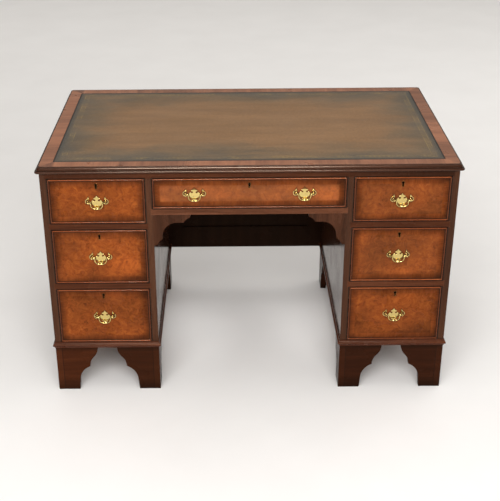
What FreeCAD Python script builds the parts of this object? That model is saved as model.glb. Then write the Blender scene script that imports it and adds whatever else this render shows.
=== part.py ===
"""Kneehole desk: two pedestals of drawers and a centre drawer under a leather-lined writing top.

X runs along the desk, Y from the front to the back and Z up, in millimetres. The origin is on the
floor, at the middle of the desk's outline with its handles.
"""
import FreeCAD, Part
import operator
import os
from math import atan2, cos, pi, radians, sin, sqrt, tan
from types import SimpleNamespace

import Sketcher

SIZES = {
    # Writing top
    "top_width": 1250,
    "top_depth": 760,
    "top_overhang": 12,
    "top_board_thickness": 18,
    "banding_thickness": 2,
    "leather_thickness": 1.8,
    "leather_margin": 49,
    "edge_width": 12,
    "edge_foot": 8,
    "edge_bead_root": 9,
    "edge_bead_low": 2.5,
    "edge_bead_high": 14,
    "edge_quirk": 6.5,
    "edge_thumb_low": 15.5,
    "edge_thumb_inset": 9,
    # Carcass
    "pedestal_width": 327,
    "side_thickness": 21,
    "bottom_thickness": 22,
    "rail_height": 22,
    "rail_depth": 60,
    "frieze_rail_height": 20,
    "kneehole_rail_height": 20,
    "housing_depth": 6,
    "back_thickness": 8,
    "back_rebate": 8,
    "runner_width": 24,
    "runner_end_gap": 5,
    "stop_width": 30,
    "stop_depth": 12,
    "stop_height": 5,
    # Drawer openings
    "lower_opening": 187,
    "middle_opening": 179,
    "upper_opening": 142,
    "centre_opening": 96,
    # Panelled back of the kneehole
    "frame_thickness": 18,
    "frame_stile_width": 52,
    "frame_top_width": 60,
    "frame_bottom_width": 84,
    "panel_thickness": 8,
    "panel_tongue": 8,
    # Spandrels in the corners of the kneehole
    "spandrel_length": 110,
    "spandrel_drop": 100,
    "spandrel_thickness": 18,
    "spandrel_band": 26,
    "spandrel_hollow": 44,
    "spandrel_cusp": 20,
    "spandrel_toe": 9,
    # Base moulding
    "base_height": 22,
    "base_nose": 7,
    "base_nose_root": 4.5,
    "base_nose_low": 6,
    "base_nose_high": 14,
    "base_lip": 1.5,
    # Bracket feet
    "foot_height": 156,
    "foot_width": 67,
    "ankle_width": 70,
    "ankle_height": 34,
    "foot_cusp_reach": 105,
    "foot_cusp_height": 86,
    "bracket_reach": 133,
    "bracket_thickness": 20,
    "foot_block": 32,
    "foot_block_lift": 6,
    # Drawers
    "front_gap": 1.2,
    "front_thickness": 20,
    "bead_thickness": 4,
    "bead_seat": 6,
    "bead_proud": 2,
    "drawer_back_room": 88,
    "drawer_side": 10,
    "drawer_back": 10,
    "drawer_back_drop": 6,
    "drawer_side_drop": 6,
    "drawer_bottom": 6,
    "drawer_bottom_rise": 10,
    "drawer_groove": 5,
    "dovetail_count": 4,
    "dovetail_lap": 7,
    "dovetail_flare": 2.2,
    # Handles
    "post_spacing": 51,
    "post_reach": 17,
    "post_head": 4.5,
    "post_neck": 2.8,
    "post_rose": 3.7,
    "post_rose_thickness": 1.2,
    "post_button": 2.4,
    "post_shank": 2.5,
    "post_tail": 1.5,
    "nut_sides": 6,
    "nut_radius": 5.5,
    "nut_thickness": 3.5,
    "nut_clearance": 0.05,
    "drill_clearance": 0.25,
    "pivot_out": 10.5,
    "pivot_clearance": 0.06,
    "bail_wire": 1.8,
    "bail_grip": 2.5,
    "bail_pin_reach": 1.5,
    "bail_neck_gap": 0.4,
    "bail_neck_bend": 3.2,
    "bail_corner": 13,
    "bail_drop": 19.5,
    "centre_handle_inset": 124,
    # Pierced backplates
    "plate_thickness": 1.6,
    "plate_tip": 20,
    "plate_shoulder": 9.6,
    "plate_shoulder_rise": 11,
    "plate_eye": 6.8,
    "plate_eye_rise": 4.6,
    "plate_eye_radius": 2.8,
    "plate_brow": 12.6,
    "plate_brow_rise": 4.8,
    "plate_waist": 16,
    "plate_side": 13.8,
    "plate_hip": 12.2,
    "plate_hip_drop": 12,
    "plate_toe": 5,
    "plate_toe_drop": 19,
    "plate_drop": 30,
    "boss_radius": 3.8,
    "scroll_inner": 7,
    "scroll_outer": 8.8,
    "horn_inset": 1.8,
    "horn_rise": 17.5,
    # Keyholes and locks
    "keyhole_drop": 19,
    "escutcheon_radius": 4.8,
    "escutcheon_length": 12.3,
    "escutcheon_foot": 3.3,
    "escutcheon_rim": 0.9,
    "escutcheon_proud": 0.4,
    "escutcheon_depth": 3,
    "lock_width": 50,
    "lock_height": 38,
    "lock_depth": 9,
}

# A bulge is the tangent of a quarter of an arc's angle: positive turns to the left.
QUARTER_ROUND = tan(pi / 8)
COVE_BULGE = -0.3
OGEE_BULGE = 0.2
FOOT_HOLLOW_BULGE = -0.31
SPANDREL_TIP_BULGE = -0.2
# Angles on the eye and the scroll of a backplate's right half, from the side that faces away.
EYE_LOW_ANGLE = radians(5)
EYE_HIGH_ANGLE = radians(-290)
WEB_LOW_ANGLE = radians(-125)
WEB_HIGH_ANGLE = radians(200)
HORN_ANGLE = radians(55)
SCROLL_END_ANGLE = radians(135)
SCROLL_ROOT_ANGLE = radians(-60)
# Angle from straight up to where the skirt of a keyhole leaves its circle.
SKIRT_ANGLE = radians(145)
# Share of each dovetail's pitch that its neck takes.
NECK_SHARE = 0.5

V = FreeCAD.Vector
HALF_TURN = FreeCAD.Rotation(V(0, 0, 1), 180)
LEFT_TURN = FreeCAD.Rotation(V(0, 0, 1), 90)
RIGHT_TURN = FreeCAD.Rotation(V(0, 0, 1), -90)
FACE_FORWARD = FreeCAD.Rotation(V(1, 0, 0), 90)
POINT_BACK = FreeCAD.Rotation(V(1, 0, 0), -90)
POINT_RIGHT = FreeCAD.Rotation(V(0, 1, 0), 90)
OPERATIONS = {"+": operator.add, "-": operator.sub, "*": operator.mul, "/": operator.truediv}


class Size:
    """A length known both as a number and as the sheet formula that gives it."""

    def __init__(self, value, formula):
        self.value = value
        self.formula = formula

    def __add__(self, other):
        return combine(self, "+", other)

    def __radd__(self, other):
        return combine(other, "+", self)

    def __sub__(self, other):
        return combine(self, "-", other)

    def __rsub__(self, other):
        return combine(other, "-", self)

    def __mul__(self, other):
        return combine(self, "*", other)

    def __rmul__(self, other):
        return combine(other, "*", self)

    def __truediv__(self, other):
        return combine(self, "/", other)

    def __neg__(self):
        return combine(0, "-", self)


def as_size(number):
    """A plain number as a size of its own."""
    if isinstance(number, Size):
        return number
    return Size(number, f"({number!r})")


def combine(first, sign, second):
    """The sum, difference, product or quotient of two sizes."""
    first = as_size(first)
    second = as_size(second)
    value = OPERATIONS[sign](first.value, second.value)
    return Size(value, f"({first.formula} {sign} {second.formula})")


def distance(start, end):
    """The straight distance between two corners of an outline."""
    across = as_size(end[0]) - start[0]
    along = as_size(end[1]) - start[1]
    value = sqrt(across.value ** 2 + along.value ** 2)
    return Size(value, f"sqrt({across.formula}^2 + {along.formula}^2)")


doc = FreeCAD.newDocument("kneehole_desk")
sheet = doc.addObject("Spreadsheet::Sheet", "Sizes")
for row, (alias, number) in enumerate(SIZES.items(), start=1):
    sheet.set(f"A{row}", alias)
    sheet.set(f"B{row}", str(number))
    sheet.setAlias(f"B{row}", alias)
doc.recompute()
s = SimpleNamespace(**{alias: Size(number, f"Sizes.{alias}") for alias, number in SIZES.items()})
nodes = {}


def bind(obj, prop, size):
    """Tie a property to the sheet."""
    obj.setExpression(prop, as_size(size).formula)


def place(obj, x, y, z, turn=None):
    """Set an object at a point, turned first if a turn is given."""
    obj.Placement = FreeCAD.Placement(V(), turn or FreeCAD.Rotation())
    for axis, size in zip("xyz", (x, y, z)):
        bind(obj, f"Placement.Base.{axis}", size)
    return obj


def group(name, pieces):
    """Separate pieces kept together as one object."""
    compound = doc.addObject("Part::Compound", name)
    compound.Links = pieces
    return compound


def copy_at(name, piece, x, y, z, turn=None):
    """A copy of a piece, turned and set at a point."""
    return place(group(name, [piece]), x, y, z, turn)


def let_in(name, base, pieces):
    """A piece cut away where other pieces are let into it."""
    cut = doc.addObject("Part::Cut", name)
    cut.Base = base
    cut.Tool = group(f"{name}_let_in", pieces)
    return cut


def board(name, corner, extent):
    """A straight board from its lowest corner and its extents."""
    box = doc.addObject("Part::Box", name)
    for prop, size in zip(("Length", "Width", "Height"), extent):
        bind(box, prop, size)
    return place(box, *corner)


def rod(name, radius, length, x, y, z, turn):
    """A round rod that starts at a point and runs the way it is turned."""
    cylinder = doc.addObject("Part::Cylinder", name)
    bind(cylinder, "Radius", radius)
    bind(cylinder, "Height", length)
    return place(cylinder, x, y, z, turn)


def new_sketch(body, name, role):
    """An empty sketch on one of a body's origin planes."""
    sketch = body.newObject("Sketcher::SketchObject", name)
    plane = [feature for feature in body.Origin.OriginFeatures if feature.Role == role][0]
    sketch.AttachmentSupport = (plane, [""])
    sketch.MapMode = "FlatFace"
    return sketch


def constrain(sketch, constraint, size):
    """Add a dimension to a sketch and tie it to the sheet."""
    index = sketch.addConstraint(constraint)
    bind(sketch, f"Constraints[{index}]", size)


def fix_point(sketch, geometry, point, corner):
    """Dimension one point of a sketch from the sketch's origin."""
    for direction, size in zip(("DistanceX", "DistanceY"), corner):
        size = as_size(size)
        constrain(sketch, Sketcher.Constraint(direction, -1, 1, geometry, point, size.value), size)


def leg(slant, side):
    """The third side of a right triangle from its longest side and another."""
    value = sqrt(slant.value ** 2 - side.value ** 2)
    return Size(value, f"sqrt({slant.formula}^2 - {side.formula}^2)")


def bulge_of(rise, chord):
    """The bulge of an arc that rises by a given height over its chord."""
    return rise * 2 / chord


def bulge_on(radius, start, end):
    """The bulge of the shorter arc of a radius between two corners."""
    chord = distance(start, end)
    return bulge_of(radius - leg(radius, chord / 2), chord)


def arc_between(start, end, bulge):
    """The circular arc of a bulge between two points, counter-clockwise as sketches keep it."""
    if bulge < 0:
        start, end = end, start
    size = abs(bulge)
    chord = end - start
    middle = (start + end) * 0.5
    left = V(-chord.y, chord.x, 0)
    centre = middle + left * ((1 - size ** 2) / (4 * size))
    radius = (start - centre).Length
    first = atan2(start.y - centre.y, start.x - centre.x)
    last = atan2(end.y - centre.y, end.x - centre.x)
    return Part.ArcOfCircle(Part.Circle(centre, V(0, 0, 1), radius), first, last)


def draw(sketch, corners, closed=True):
    """Draw lines and arcs from corner to corner.

    A corner is (x, y), or (x, y, bulge) where an arc of that bulge leads to it.
    """
    pairs = list(zip(corners, corners[1:]))
    if closed:
        pairs.append((corners[-1], corners[0]))
    ends = []
    for start, end in pairs:
        first = V(as_size(start[0]).value, as_size(start[1]).value, 0)
        last = V(as_size(end[0]).value, as_size(end[1]).value, 0)
        if len(end) == 2:
            index = sketch.addGeometry(Part.LineSegment(first, last))
            ends.append((index, 1, 2))
            continue
        bulge = as_size(end[2])
        index = sketch.addGeometry(arc_between(first, last, bulge.value))
        ends.append((index, 1, 2) if bulge.value > 0 else (index, 2, 1))
        depth = bulge if bulge.value > 0 else -bulge
        radius = distance(start, end) * (1 + depth * depth) / (4 * depth)
        constrain(sketch, Sketcher.Constraint("Radius", index, radius.value), radius)
    joints = list(zip(ends, ends[1:]))
    if closed:
        joints.append((ends[-1], ends[0]))
    for (index, _, tail), (following, head, _) in joints:
        sketch.addConstraint(Sketcher.Constraint("Coincident", index, tail, following, head))
    for (index, head, _), (start, _) in zip(ends, pairs):
        fix_point(sketch, index, head, start[:2])
    if not closed:
        fix_point(sketch, ends[-1][0], ends[-1][2], corners[-1][:2])


def draw_circle(sketch, x, y, radius):
    """Draw a circle."""
    centre = V(as_size(x).value, as_size(y).value, 0)
    index = sketch.addGeometry(Part.Circle(centre, V(0, 0, 1), radius.value))
    fix_point(sketch, index, 3, (x, y))
    constrain(sketch, Sketcher.Constraint("Radius", index, radius.value), radius)


def prism(name, role, outlines, length, centred=False, circles=()):
    """An outline, with any holes in it, given a thickness."""
    body = doc.addObject("PartDesign::Body", name)
    sketch = new_sketch(body, f"{name}_outline", role)
    for corners in outlines:
        draw(sketch, corners)
    for circle in circles:
        draw_circle(sketch, *circle)
    pad = body.newObject("PartDesign::Pad", f"{name}_pad")
    pad.Profile = sketch
    pad.Midplane = centred
    bind(pad, "Length", length)
    return body


def turned(name, corners):
    """A profile turned about the Y axis."""
    body = doc.addObject("PartDesign::Body", name)
    sketch = new_sketch(body, f"{name}_profile", "XY_Plane")
    draw(sketch, corners)
    revolution = body.newObject("PartDesign::Revolution", f"{name}_turned")
    revolution.Profile = sketch
    revolution.ReferenceAxis = (sketch, ["V_Axis"])
    return body


def mitred_strip(name, run, reach, low, high, profile):
    """A strip along X with its profile in (outward, up) and ends mitred outwards."""
    length = prism(f"{name}_length", "YZ_Plane", [profile], run + 2 * reach, centred=True)
    half = run / 2
    plan = [(-half, 0), (half, 0), (half + reach, reach), (-half - reach, reach)]
    mitres = place(prism(f"{name}_mitres", "XY_Plane", [plan], high - low), 0, 0, low)
    strip = doc.addObject("Part::Common", name)
    strip.Base = length
    strip.Tool = mitres
    return strip


def mitred_frame(name, width, depth, reach, low, high, profile):
    """Four mitred strips round a rectangle that is centred on the origin."""
    long_strip = mitred_strip(f"{name}_long", width, reach, low, high, profile)
    short_strip = mitred_strip(f"{name}_short", depth, reach, low, high, profile)
    strips = [
        copy_at(f"{name}_far", long_strip, 0, depth / 2, 0),
        copy_at(f"{name}_near", long_strip, 0, -depth / 2, 0, HALF_TURN),
        copy_at(f"{name}_left", short_strip, -width / 2, 0, 0, LEFT_TURN),
        copy_at(f"{name}_right", short_strip, width / 2, 0, 0, RIGHT_TURN),
    ]
    return group(name, strips)


def mirrored_outline(half):
    """A whole outline from its right half, given from the bottom centre up to the top centre."""
    back = []
    for earlier, later in zip(half[-2:0:-1], half[:1:-1]):
        back.append((-earlier[0], earlier[1]) + tuple(later[2:]))
    first = tuple(half[0]) + tuple(half[1][2:])
    return [first] + half[1:] + back


# Levels and main planes
carcass_width = s.top_width - 2 * s.top_overhang
carcass_depth = s.top_depth - 2 * s.top_overhang
front = (s.post_reach - s.top_overhang - carcass_depth) / 2
rear = front + carcass_depth
middle = (front + rear) / 2
bay = s.pedestal_width - 2 * s.side_thickness
kneehole = carcass_width - 2 * s.pedestal_width
pedestal_offset = (carcass_width - s.pedestal_width) / 2
lower_level = s.foot_height + s.bottom_thickness
middle_level = lower_level + s.lower_opening + s.rail_height
upper_level = middle_level + s.middle_opening + s.rail_height
frieze_level = upper_level + s.upper_opening
carcass_top = frieze_level + s.frieze_rail_height
centre_level = frieze_level - s.centre_opening
kneehole_rail_level = centre_level - s.kneehole_rail_height
carcass_height = carcass_top - s.foot_height
inner_back = rear - s.back_thickness
drawer_depth = inner_back - front - s.drawer_back_room
runner_start = front + s.rail_depth
SIDES = (("left", -1), ("right", 1))

# Handles: backplate, post, nut and bail, with the face of the drawer at Y 0 and the pivots at Z 0
post_x = s.post_spacing / 2


def on_circle(x, z, radius, angle):
    """A point on a circle round (x, z)."""
    return x + radius * cos(angle), z + radius * sin(angle)


def round_arc(x, z, radius, start, end):
    """The ends of two equal arcs that run on a circle round (x, z) from one angle to another."""
    bulge = tan((end - start) / 8)
    middle = (start + end) / 2
    return [(*on_circle(x, z, radius, angle), bulge) for angle in (middle, end)]


web_low = on_circle(post_x, 0, s.scroll_outer, WEB_LOW_ANGLE)
boss_start = on_circle(post_x, 0, s.boss_radius, SCROLL_ROOT_ANGLE)
boss_arcs = round_arc(post_x, 0, s.boss_radius, SCROLL_ROOT_ANGLE, WEB_HIGH_ANGLE)
eye_start = on_circle(s.plate_eye, s.plate_eye_rise, s.plate_eye_radius, EYE_LOW_ANGLE)
plate_half = [
    (0, -s.plate_drop),
    (s.plate_toe, -s.plate_toe_drop, COVE_BULGE),
    (s.plate_hip, -s.plate_hip_drop, OGEE_BULGE),
    (s.plate_side, web_low[1]),
    web_low,
    *round_arc(post_x, 0, s.scroll_outer, WEB_LOW_ANGLE, HORN_ANGLE),
    (post_x - s.horn_inset, s.horn_rise, -OGEE_BULGE),
    (*on_circle(post_x, 0, s.scroll_inner, SCROLL_END_ANGLE), -OGEE_BULGE),
    *round_arc(post_x, 0, s.scroll_inner, SCROLL_END_ANGLE, SCROLL_ROOT_ANGLE),
    boss_start,
    *boss_arcs,
    (s.plate_waist, boss_arcs[-1][1]),
    (s.plate_brow, s.plate_brow_rise, OGEE_BULGE),
    (*eye_start, OGEE_BULGE),
    *round_arc(s.plate_eye, s.plate_eye_rise, s.plate_eye_radius, EYE_LOW_ANGLE, EYE_HIGH_ANGLE),
    (s.plate_shoulder, s.plate_shoulder_rise, OGEE_BULGE),
    (0, s.plate_tip, COVE_BULGE),
]
shank_hole = s.post_shank + s.nut_clearance
backplate = prism(
    "backplate", "XZ_Plane", [mirrored_outline(plate_half)], s.plate_thickness,
    circles=[(-post_x, 0, shank_hole), (post_x, 0, shank_hole)],
)

shank_end = s.front_thickness + s.nut_thickness + s.post_tail
rose_face = s.plate_thickness + s.post_rose_thickness
ball_front = (s.post_button, -s.pivot_out - leg(s.post_head, s.post_button))
ball_back = (s.post_neck, -s.pivot_out + leg(s.post_head, s.post_neck))
post_blank = turned("post_blank", [
    (0, -s.post_reach),
    (s.post_button, -s.post_reach + s.post_button, QUARTER_ROUND),
    ball_front,
    (*ball_back, bulge_on(s.post_head, ball_front, ball_back)),
    (s.post_neck, -rose_face - (s.post_rose - s.post_neck)),
    (s.post_rose, -rose_face, -QUARTER_ROUND),
    (s.post_rose, -s.plate_thickness),
    (s.post_shank, -s.plate_thickness),
    (s.post_shank, shank_end),
    (0, shank_end),
])
pivot_hole = rod(
    "pivot_hole", s.bail_wire + s.pivot_clearance, 4 * s.post_head,
    -2 * s.post_head, -s.pivot_out, 0, POINT_RIGHT,
)
post = let_in("post", post_blank, [pivot_hole])

nut_blank = doc.addObject("Part::Prism", "nut_blank")
nut_blank.Polygon = int(s.nut_sides.value)
bind(nut_blank, "Circumradius", s.nut_radius)
bind(nut_blank, "Height", s.nut_thickness)
place(nut_blank, 0, s.front_thickness, 0, POINT_BACK)
nut_bore = rod("nut_bore", shank_hole, 2 * shank_end, 0, 0, 0, POINT_BACK)
nut = let_in("nut", nut_blank, [nut_bore])

# The bail is bent from wire: pins into the posts, necks turned down, round corners and a grip
neck_x = post_x - s.post_head - s.bail_neck_gap
arm_x = neck_x - s.bail_neck_bend
grip_half = arm_x - s.bail_corner
pin_end = post_x + s.bail_pin_reach
bail = doc.addObject("PartDesign::Body", "bail_proto")
spine = new_sketch(bail, "bail_line", "XZ_Plane")
bail_half = [
    (grip_half, -s.bail_drop),
    (arm_x, -s.bail_drop + s.bail_corner, QUARTER_ROUND),
    (arm_x, -s.bail_neck_bend),
    (neck_x, 0, -QUARTER_ROUND),
    (pin_end, 0),
]
other_half = [(-pin_end, 0), (-neck_x, 0), (-arm_x, -s.bail_neck_bend, -QUARTER_ROUND),
              (-arm_x, -s.bail_drop + s.bail_corner), (-grip_half, -s.bail_drop, QUARTER_ROUND)]
draw(spine, other_half + bail_half, closed=False)
wire = new_sketch(bail, "bail_section", "YZ_Plane")
bind(wire, "AttachmentOffset.Base.z", -pin_end)
draw_circle(wire, 0, 0, s.bail_wire)
pipe = bail.newObject("PartDesign::AdditivePipe", "bail_pipe")
pipe.Profile = wire
pipe.Spine = spine
grip = new_sketch(bail, "grip_profile", "XY_Plane")
bind(grip, "AttachmentOffset.Base.z", -s.bail_drop)
draw(grip, [(-grip_half, 0), (grip_half, 0), (grip_half, s.bail_wire),
            (0, s.bail_grip), (-grip_half, s.bail_wire)])
swell = bail.newObject("PartDesign::Revolution", "grip_swell")
swell.Profile = grip
swell.ReferenceAxis = (grip, ["H_Axis"])


def keyhole(radius, length, foot):
    """The outline of a keyhole: a circle with a skirt that hangs from it."""
    side = radius * sin(SKIRT_ANGLE)
    hip = radius * cos(SKIRT_ANGLE)
    shoulder = tan(SKIRT_ANGLE / 4)
    return [(-foot, -length), (foot, -length), (side, hip), (0, radius, shoulder), (-side, hip, shoulder)]


rim_outline = keyhole(s.escutcheon_radius, s.escutcheon_length, s.escutcheon_foot)
slot_outline = keyhole(
    s.escutcheon_radius - s.escutcheon_rim, s.escutcheon_length - s.escutcheon_rim,
    s.escutcheon_foot - s.escutcheon_rim,
)
rim_length = s.escutcheon_depth + s.escutcheon_proud
key_depth = s.front_thickness - s.lock_depth
escutcheon = prism("escutcheon", "XZ_Plane", [rim_outline, slot_outline], rim_length)
rim_seat = prism("rim_seat", "XZ_Plane", [rim_outline], rim_length)
key_slot = prism("key_slot", "XZ_Plane", [slot_outline], key_depth + s.escutcheon_proud)


def tails(base, tip, low, high):
    """Corners of a row of dovetails along the end of a board, from low to high."""
    count = int(s.dovetail_count.value)
    pitch = (high - low) / s.dovetail_count
    corners = []
    for number in range(count):
        centre = low + pitch * (number + 0.5)
        neck = pitch * (NECK_SHARE / 2)
        flare = neck + s.dovetail_flare
        corners += [(base, centre - neck), (tip, centre - flare)]
        corners += [(tip, centre + flare), (base, centre + neck)]
    return corners


def make_drawer(kind, opening_width, opening_height, handle_offsets):
    """A drawer with its front face at Y 0 and the floor of its opening at Z 0, as named pieces."""
    width = opening_width - 2 * s.front_gap
    height = opening_height - 2 * s.front_gap
    top = s.front_gap + height
    side_top = top - s.drawer_side_drop
    back_low = s.drawer_bottom_rise + s.drawer_bottom
    back_top = side_top - s.drawer_back_drop
    back_face = drawer_depth - s.drawer_back

    nose = s.bead_thickness / 2
    bead_profile = [
        (0, -s.bead_seat),
        (s.bead_thickness, -s.bead_seat),
        (s.bead_thickness, s.bead_proud - nose),
        (nose, s.bead_proud, QUARTER_ROUND),
        (0, s.bead_proud - nose, QUARTER_ROUND),
    ]
    bead_frame = mitred_frame(
        f"{kind}_bead_frame", width - 2 * s.bead_thickness, height - 2 * s.bead_thickness,
        s.bead_thickness, -s.bead_seat, s.bead_proud, bead_profile,
    )
    bead = copy_at(f"{kind}_bead", bead_frame, 0, 0, opening_height / 2, FACE_FORWARD)

    bottom = board(
        f"{kind}_bottom",
        (-(width / 2 - s.drawer_side + s.drawer_groove), s.front_thickness - s.drawer_groove,
         s.drawer_bottom_rise),
        (width - 2 * (s.drawer_side - s.drawer_groove),
         drawer_depth - s.front_thickness + s.drawer_groove, s.drawer_bottom),
    )
    rear_tails = tails(back_face, drawer_depth, back_low, back_top)
    front_tails = tails(s.front_thickness, s.dovetail_lap, s.front_gap, side_top)
    side_outline = [(s.front_thickness, 0), (back_face, 0)] + rear_tails
    side_outline += [(back_face, side_top), (s.front_thickness, side_top)] + front_tails[::-1]
    blank = prism(f"{kind}_side_blank", "YZ_Plane", [side_outline], s.drawer_side)
    sides = []
    for name, start in (("left", -width / 2), ("right", width / 2 - s.drawer_side)):
        placed = copy_at(f"{kind}_{name}_blank", blank, start, 0, 0)
        sides.append(let_in(f"{kind}_{name}_side", placed, [bottom]))
    back_board = board(
        f"{kind}_back_board", (-width / 2, back_face, back_low), (width, s.drawer_back, back_top - back_low)
    )
    back = let_in(f"{kind}_back", back_board, sides)

    lock = board(
        f"{kind}_lock", (-s.lock_width / 2, key_depth, top - s.lock_height),
        (s.lock_width, s.lock_depth, s.lock_height),
    )
    key_level = opening_height - s.keyhole_drop
    key_pieces = []
    for name, piece, seat in (
        ("escutcheon", escutcheon, s.escutcheon_depth),
        ("rim_seat", rim_seat, s.escutcheon_depth),
        ("key_slot", key_slot, key_depth),
    ):
        key_pieces.append(copy_at(f"{kind}_{name}", piece, 0, seat, key_level))

    handle_level = opening_height / 2
    brasses = [key_pieces[0], lock]
    drills = []
    bails = []
    for number, offset in enumerate(handle_offsets):
        tag = f"{kind}_{number}"
        brasses.append(copy_at(f"{tag}_backplate", backplate, offset, 0, handle_level))
        bails.append(copy_at(f"{tag}_bail", bail, offset, -s.pivot_out, handle_level))
        for end, shift in (("left", -post_x), ("right", post_x)):
            x = offset + shift
            brasses.append(copy_at(f"{tag}_{end}_post", post, x, 0, handle_level))
            brasses.append(copy_at(f"{tag}_{end}_nut", nut, x, 0, handle_level))
            drills.append(rod(
                f"{tag}_{end}_drill", s.post_shank + s.drill_clearance, s.front_thickness,
                x, 0, handle_level, POINT_BACK,
            ))
    front_board = board(
        f"{kind}_front_board", (-width / 2, 0, s.front_gap), (width, s.front_thickness, height)
    )
    front_piece = let_in(
        f"{kind}_front", front_board, [bead, bottom, lock] + sides + key_pieces[1:] + drills
    )
    return {
        "front": front_piece,
        "cock_bead": bead,
        "box": group(f"{kind}_box", sides + [back, bottom]),
        "brasses": group(f"{kind}_brasses", brasses),
        "bails": bails,
    }


def fit_drawer(name, drawer, x, level, bail_names):
    """Set the pieces of a drawer in an opening, each as a node of its own."""
    for piece in ("front", "cock_bead", "box", "brasses"):
        nodes[f"{name}_{piece}"] = copy_at(f"{name}_{piece}", drawer[piece], x, front, level)
    for bail_name, bail_piece in zip(bail_names, drawer["bails"]):
        nodes[bail_name] = copy_at(bail_name, bail_piece, x, front, level)


for place_name, level, opening in (
    ("top", upper_level, s.upper_opening),
    ("middle", middle_level, s.middle_opening),
    ("bottom", lower_level, s.lower_opening),
):
    pedestal_drawer = make_drawer(f"{place_name}_drawer", bay, opening, [as_size(0)])
    for hand, sign in SIDES:
        drawer_name = f"{hand}_{place_name}_drawer"
        fit_drawer(drawer_name, pedestal_drawer, pedestal_offset * sign, level, [f"{drawer_name}_bail"])
centre_handle_x = kneehole / 2 - s.centre_handle_inset
centre_drawer = make_drawer(
    "wide_drawer", kneehole, s.centre_opening, [-centre_handle_x, centre_handle_x]
)
fit_drawer(
    "centre_drawer", centre_drawer, 0, centre_level,
    ["centre_drawer_left_bail", "centre_drawer_right_bail"],
)

# Rails across the front
frieze_half = carcass_width / 2 - s.side_thickness + s.housing_depth
nodes["frieze_rail"] = board(
    "frieze_rail", (-frieze_half, front, frieze_level), (2 * frieze_half, s.rail_depth, s.frieze_rail_height)
)
kneehole_half = kneehole / 2
nodes["kneehole_rail"] = board(
    "kneehole_rail", (-kneehole_half - s.housing_depth, front, kneehole_rail_level),
    (kneehole + 2 * s.housing_depth, s.rail_depth, s.kneehole_rail_height),
)

# Pedestal pieces, about the middle plane of a pedestal
housed_width = bay + 2 * s.housing_depth
bottom_board = board(
    "bottom_proto", (-housed_width / 2, front, s.foot_height),
    (housed_width, inner_back - front, s.bottom_thickness),
)
rails = []
runners = []
for level_name, level in (("middle", middle_level), ("upper", upper_level)):
    rails.append(board(
        f"{level_name}_rail", (-housed_width / 2, front, level - s.rail_height),
        (housed_width, s.rail_depth, s.rail_height),
    ))
runner_length = inner_back - s.runner_end_gap - runner_start
runner_reach = s.runner_width + s.housing_depth
for level_name, level, thickness in (
    ("middle_runner", middle_level - s.rail_height, s.rail_height),
    ("upper_runner", upper_level - s.rail_height, s.rail_height),
    ("kicker", frieze_level, s.frieze_rail_height),
):
    for hand, start in (("left", -housed_width / 2), ("right", housed_width / 2 - runner_reach)):
        runners.append(board(
            f"{hand}_{level_name}", (start, runner_start, level), (runner_reach, runner_length, thickness)
        ))


def stops(name, opening_width, level):
    """Two small blocks behind the front of a drawer, where it comes home."""
    blocks = []
    for hand, sign in SIDES:
        x = opening_width * (sign / 4) - s.stop_width / 2
        blocks.append(board(
            f"{name}_{hand}_stop", (x, front + s.front_thickness, level),
            (s.stop_width, s.stop_depth, s.stop_height),
        ))
    return blocks


stop_blocks = []
for level_name, level in (("lower", lower_level), ("middle", middle_level), ("upper", upper_level)):
    stop_blocks += stops(level_name, bay, level)
back_half = bay / 2 + s.back_rebate
back_panel = board(
    "back_proto", (-back_half, inner_back, s.foot_height), (2 * back_half, s.back_thickness, carcass_height)
)
rail_group = group("rail_proto", rails)
runner_group = group("runner_proto", runners + stop_blocks)

nose_bulge = bulge_of(s.base_nose - s.base_nose_root, s.base_nose_high - s.base_nose_low)
base_profile = [
    (0, 0),
    (s.base_lip, 0),
    (s.base_nose_root, s.base_nose_low, COVE_BULGE),
    (s.base_nose_root, s.base_nose_high, nose_bulge),
    (s.base_lip, s.base_height, COVE_BULGE),
    (0, s.base_height),
]
base_frame = mitred_frame(
    "base_frame", s.pedestal_width, carcass_depth, s.base_nose, 0, s.base_height, base_profile
)


def bracket_outline(start):
    """A bracket foot seen square on, from a given distance along to its tip under the moulding."""
    ogee = (
        (s.foot_cusp_reach + s.bracket_reach) / 2,
        (s.foot_cusp_height + s.foot_height) / 2,
        -OGEE_BULGE,
    )
    return [
        (start, 0),
        (s.foot_width, 0),
        (s.ankle_width, s.ankle_height),
        (s.foot_cusp_reach, s.foot_cusp_height, FOOT_HOLLOW_BULGE),
        ogee,
        (s.bracket_reach, s.foot_height, OGEE_BULGE),
        (start, s.foot_height),
    ]


side_bracket = prism("side_bracket", "YZ_Plane", [bracket_outline(0)], s.bracket_thickness)
cross_bracket = prism(
    "cross_bracket", "XZ_Plane", [bracket_outline(s.bracket_thickness)], s.bracket_thickness
)
half_pedestal = s.pedestal_width / 2
thick = s.bracket_thickness
foot_pieces = []
for corner, x, side_x, side_turn, y, cross_y, cross_turn in (
    ("front_left", -half_pedestal, -half_pedestal, None, front, front + thick, None),
    ("front_right", half_pedestal, half_pedestal - thick, None, front, front, HALF_TURN),
    ("rear_left", -half_pedestal, -half_pedestal + thick, HALF_TURN, rear, rear, None),
    ("rear_right", half_pedestal, half_pedestal, HALF_TURN, rear, rear - thick, HALF_TURN),
):
    foot_pieces.append(copy_at(f"{corner}_side_bracket", side_bracket, side_x, y, 0, side_turn))
    foot_pieces.append(copy_at(f"{corner}_cross_bracket", cross_bracket, x, cross_y, 0, cross_turn))
    block_x = x + thick if "left" in corner else x - thick - s.foot_block
    block_y = y + thick if "front" in corner else y - thick - s.foot_block
    foot_pieces.append(board(
        f"{corner}_block", (block_x, block_y, s.foot_block_lift),
        (s.foot_block, s.foot_block, s.foot_height - s.foot_block_lift),
    ))
foot_group = group("feet_proto", foot_pieces)

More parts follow.
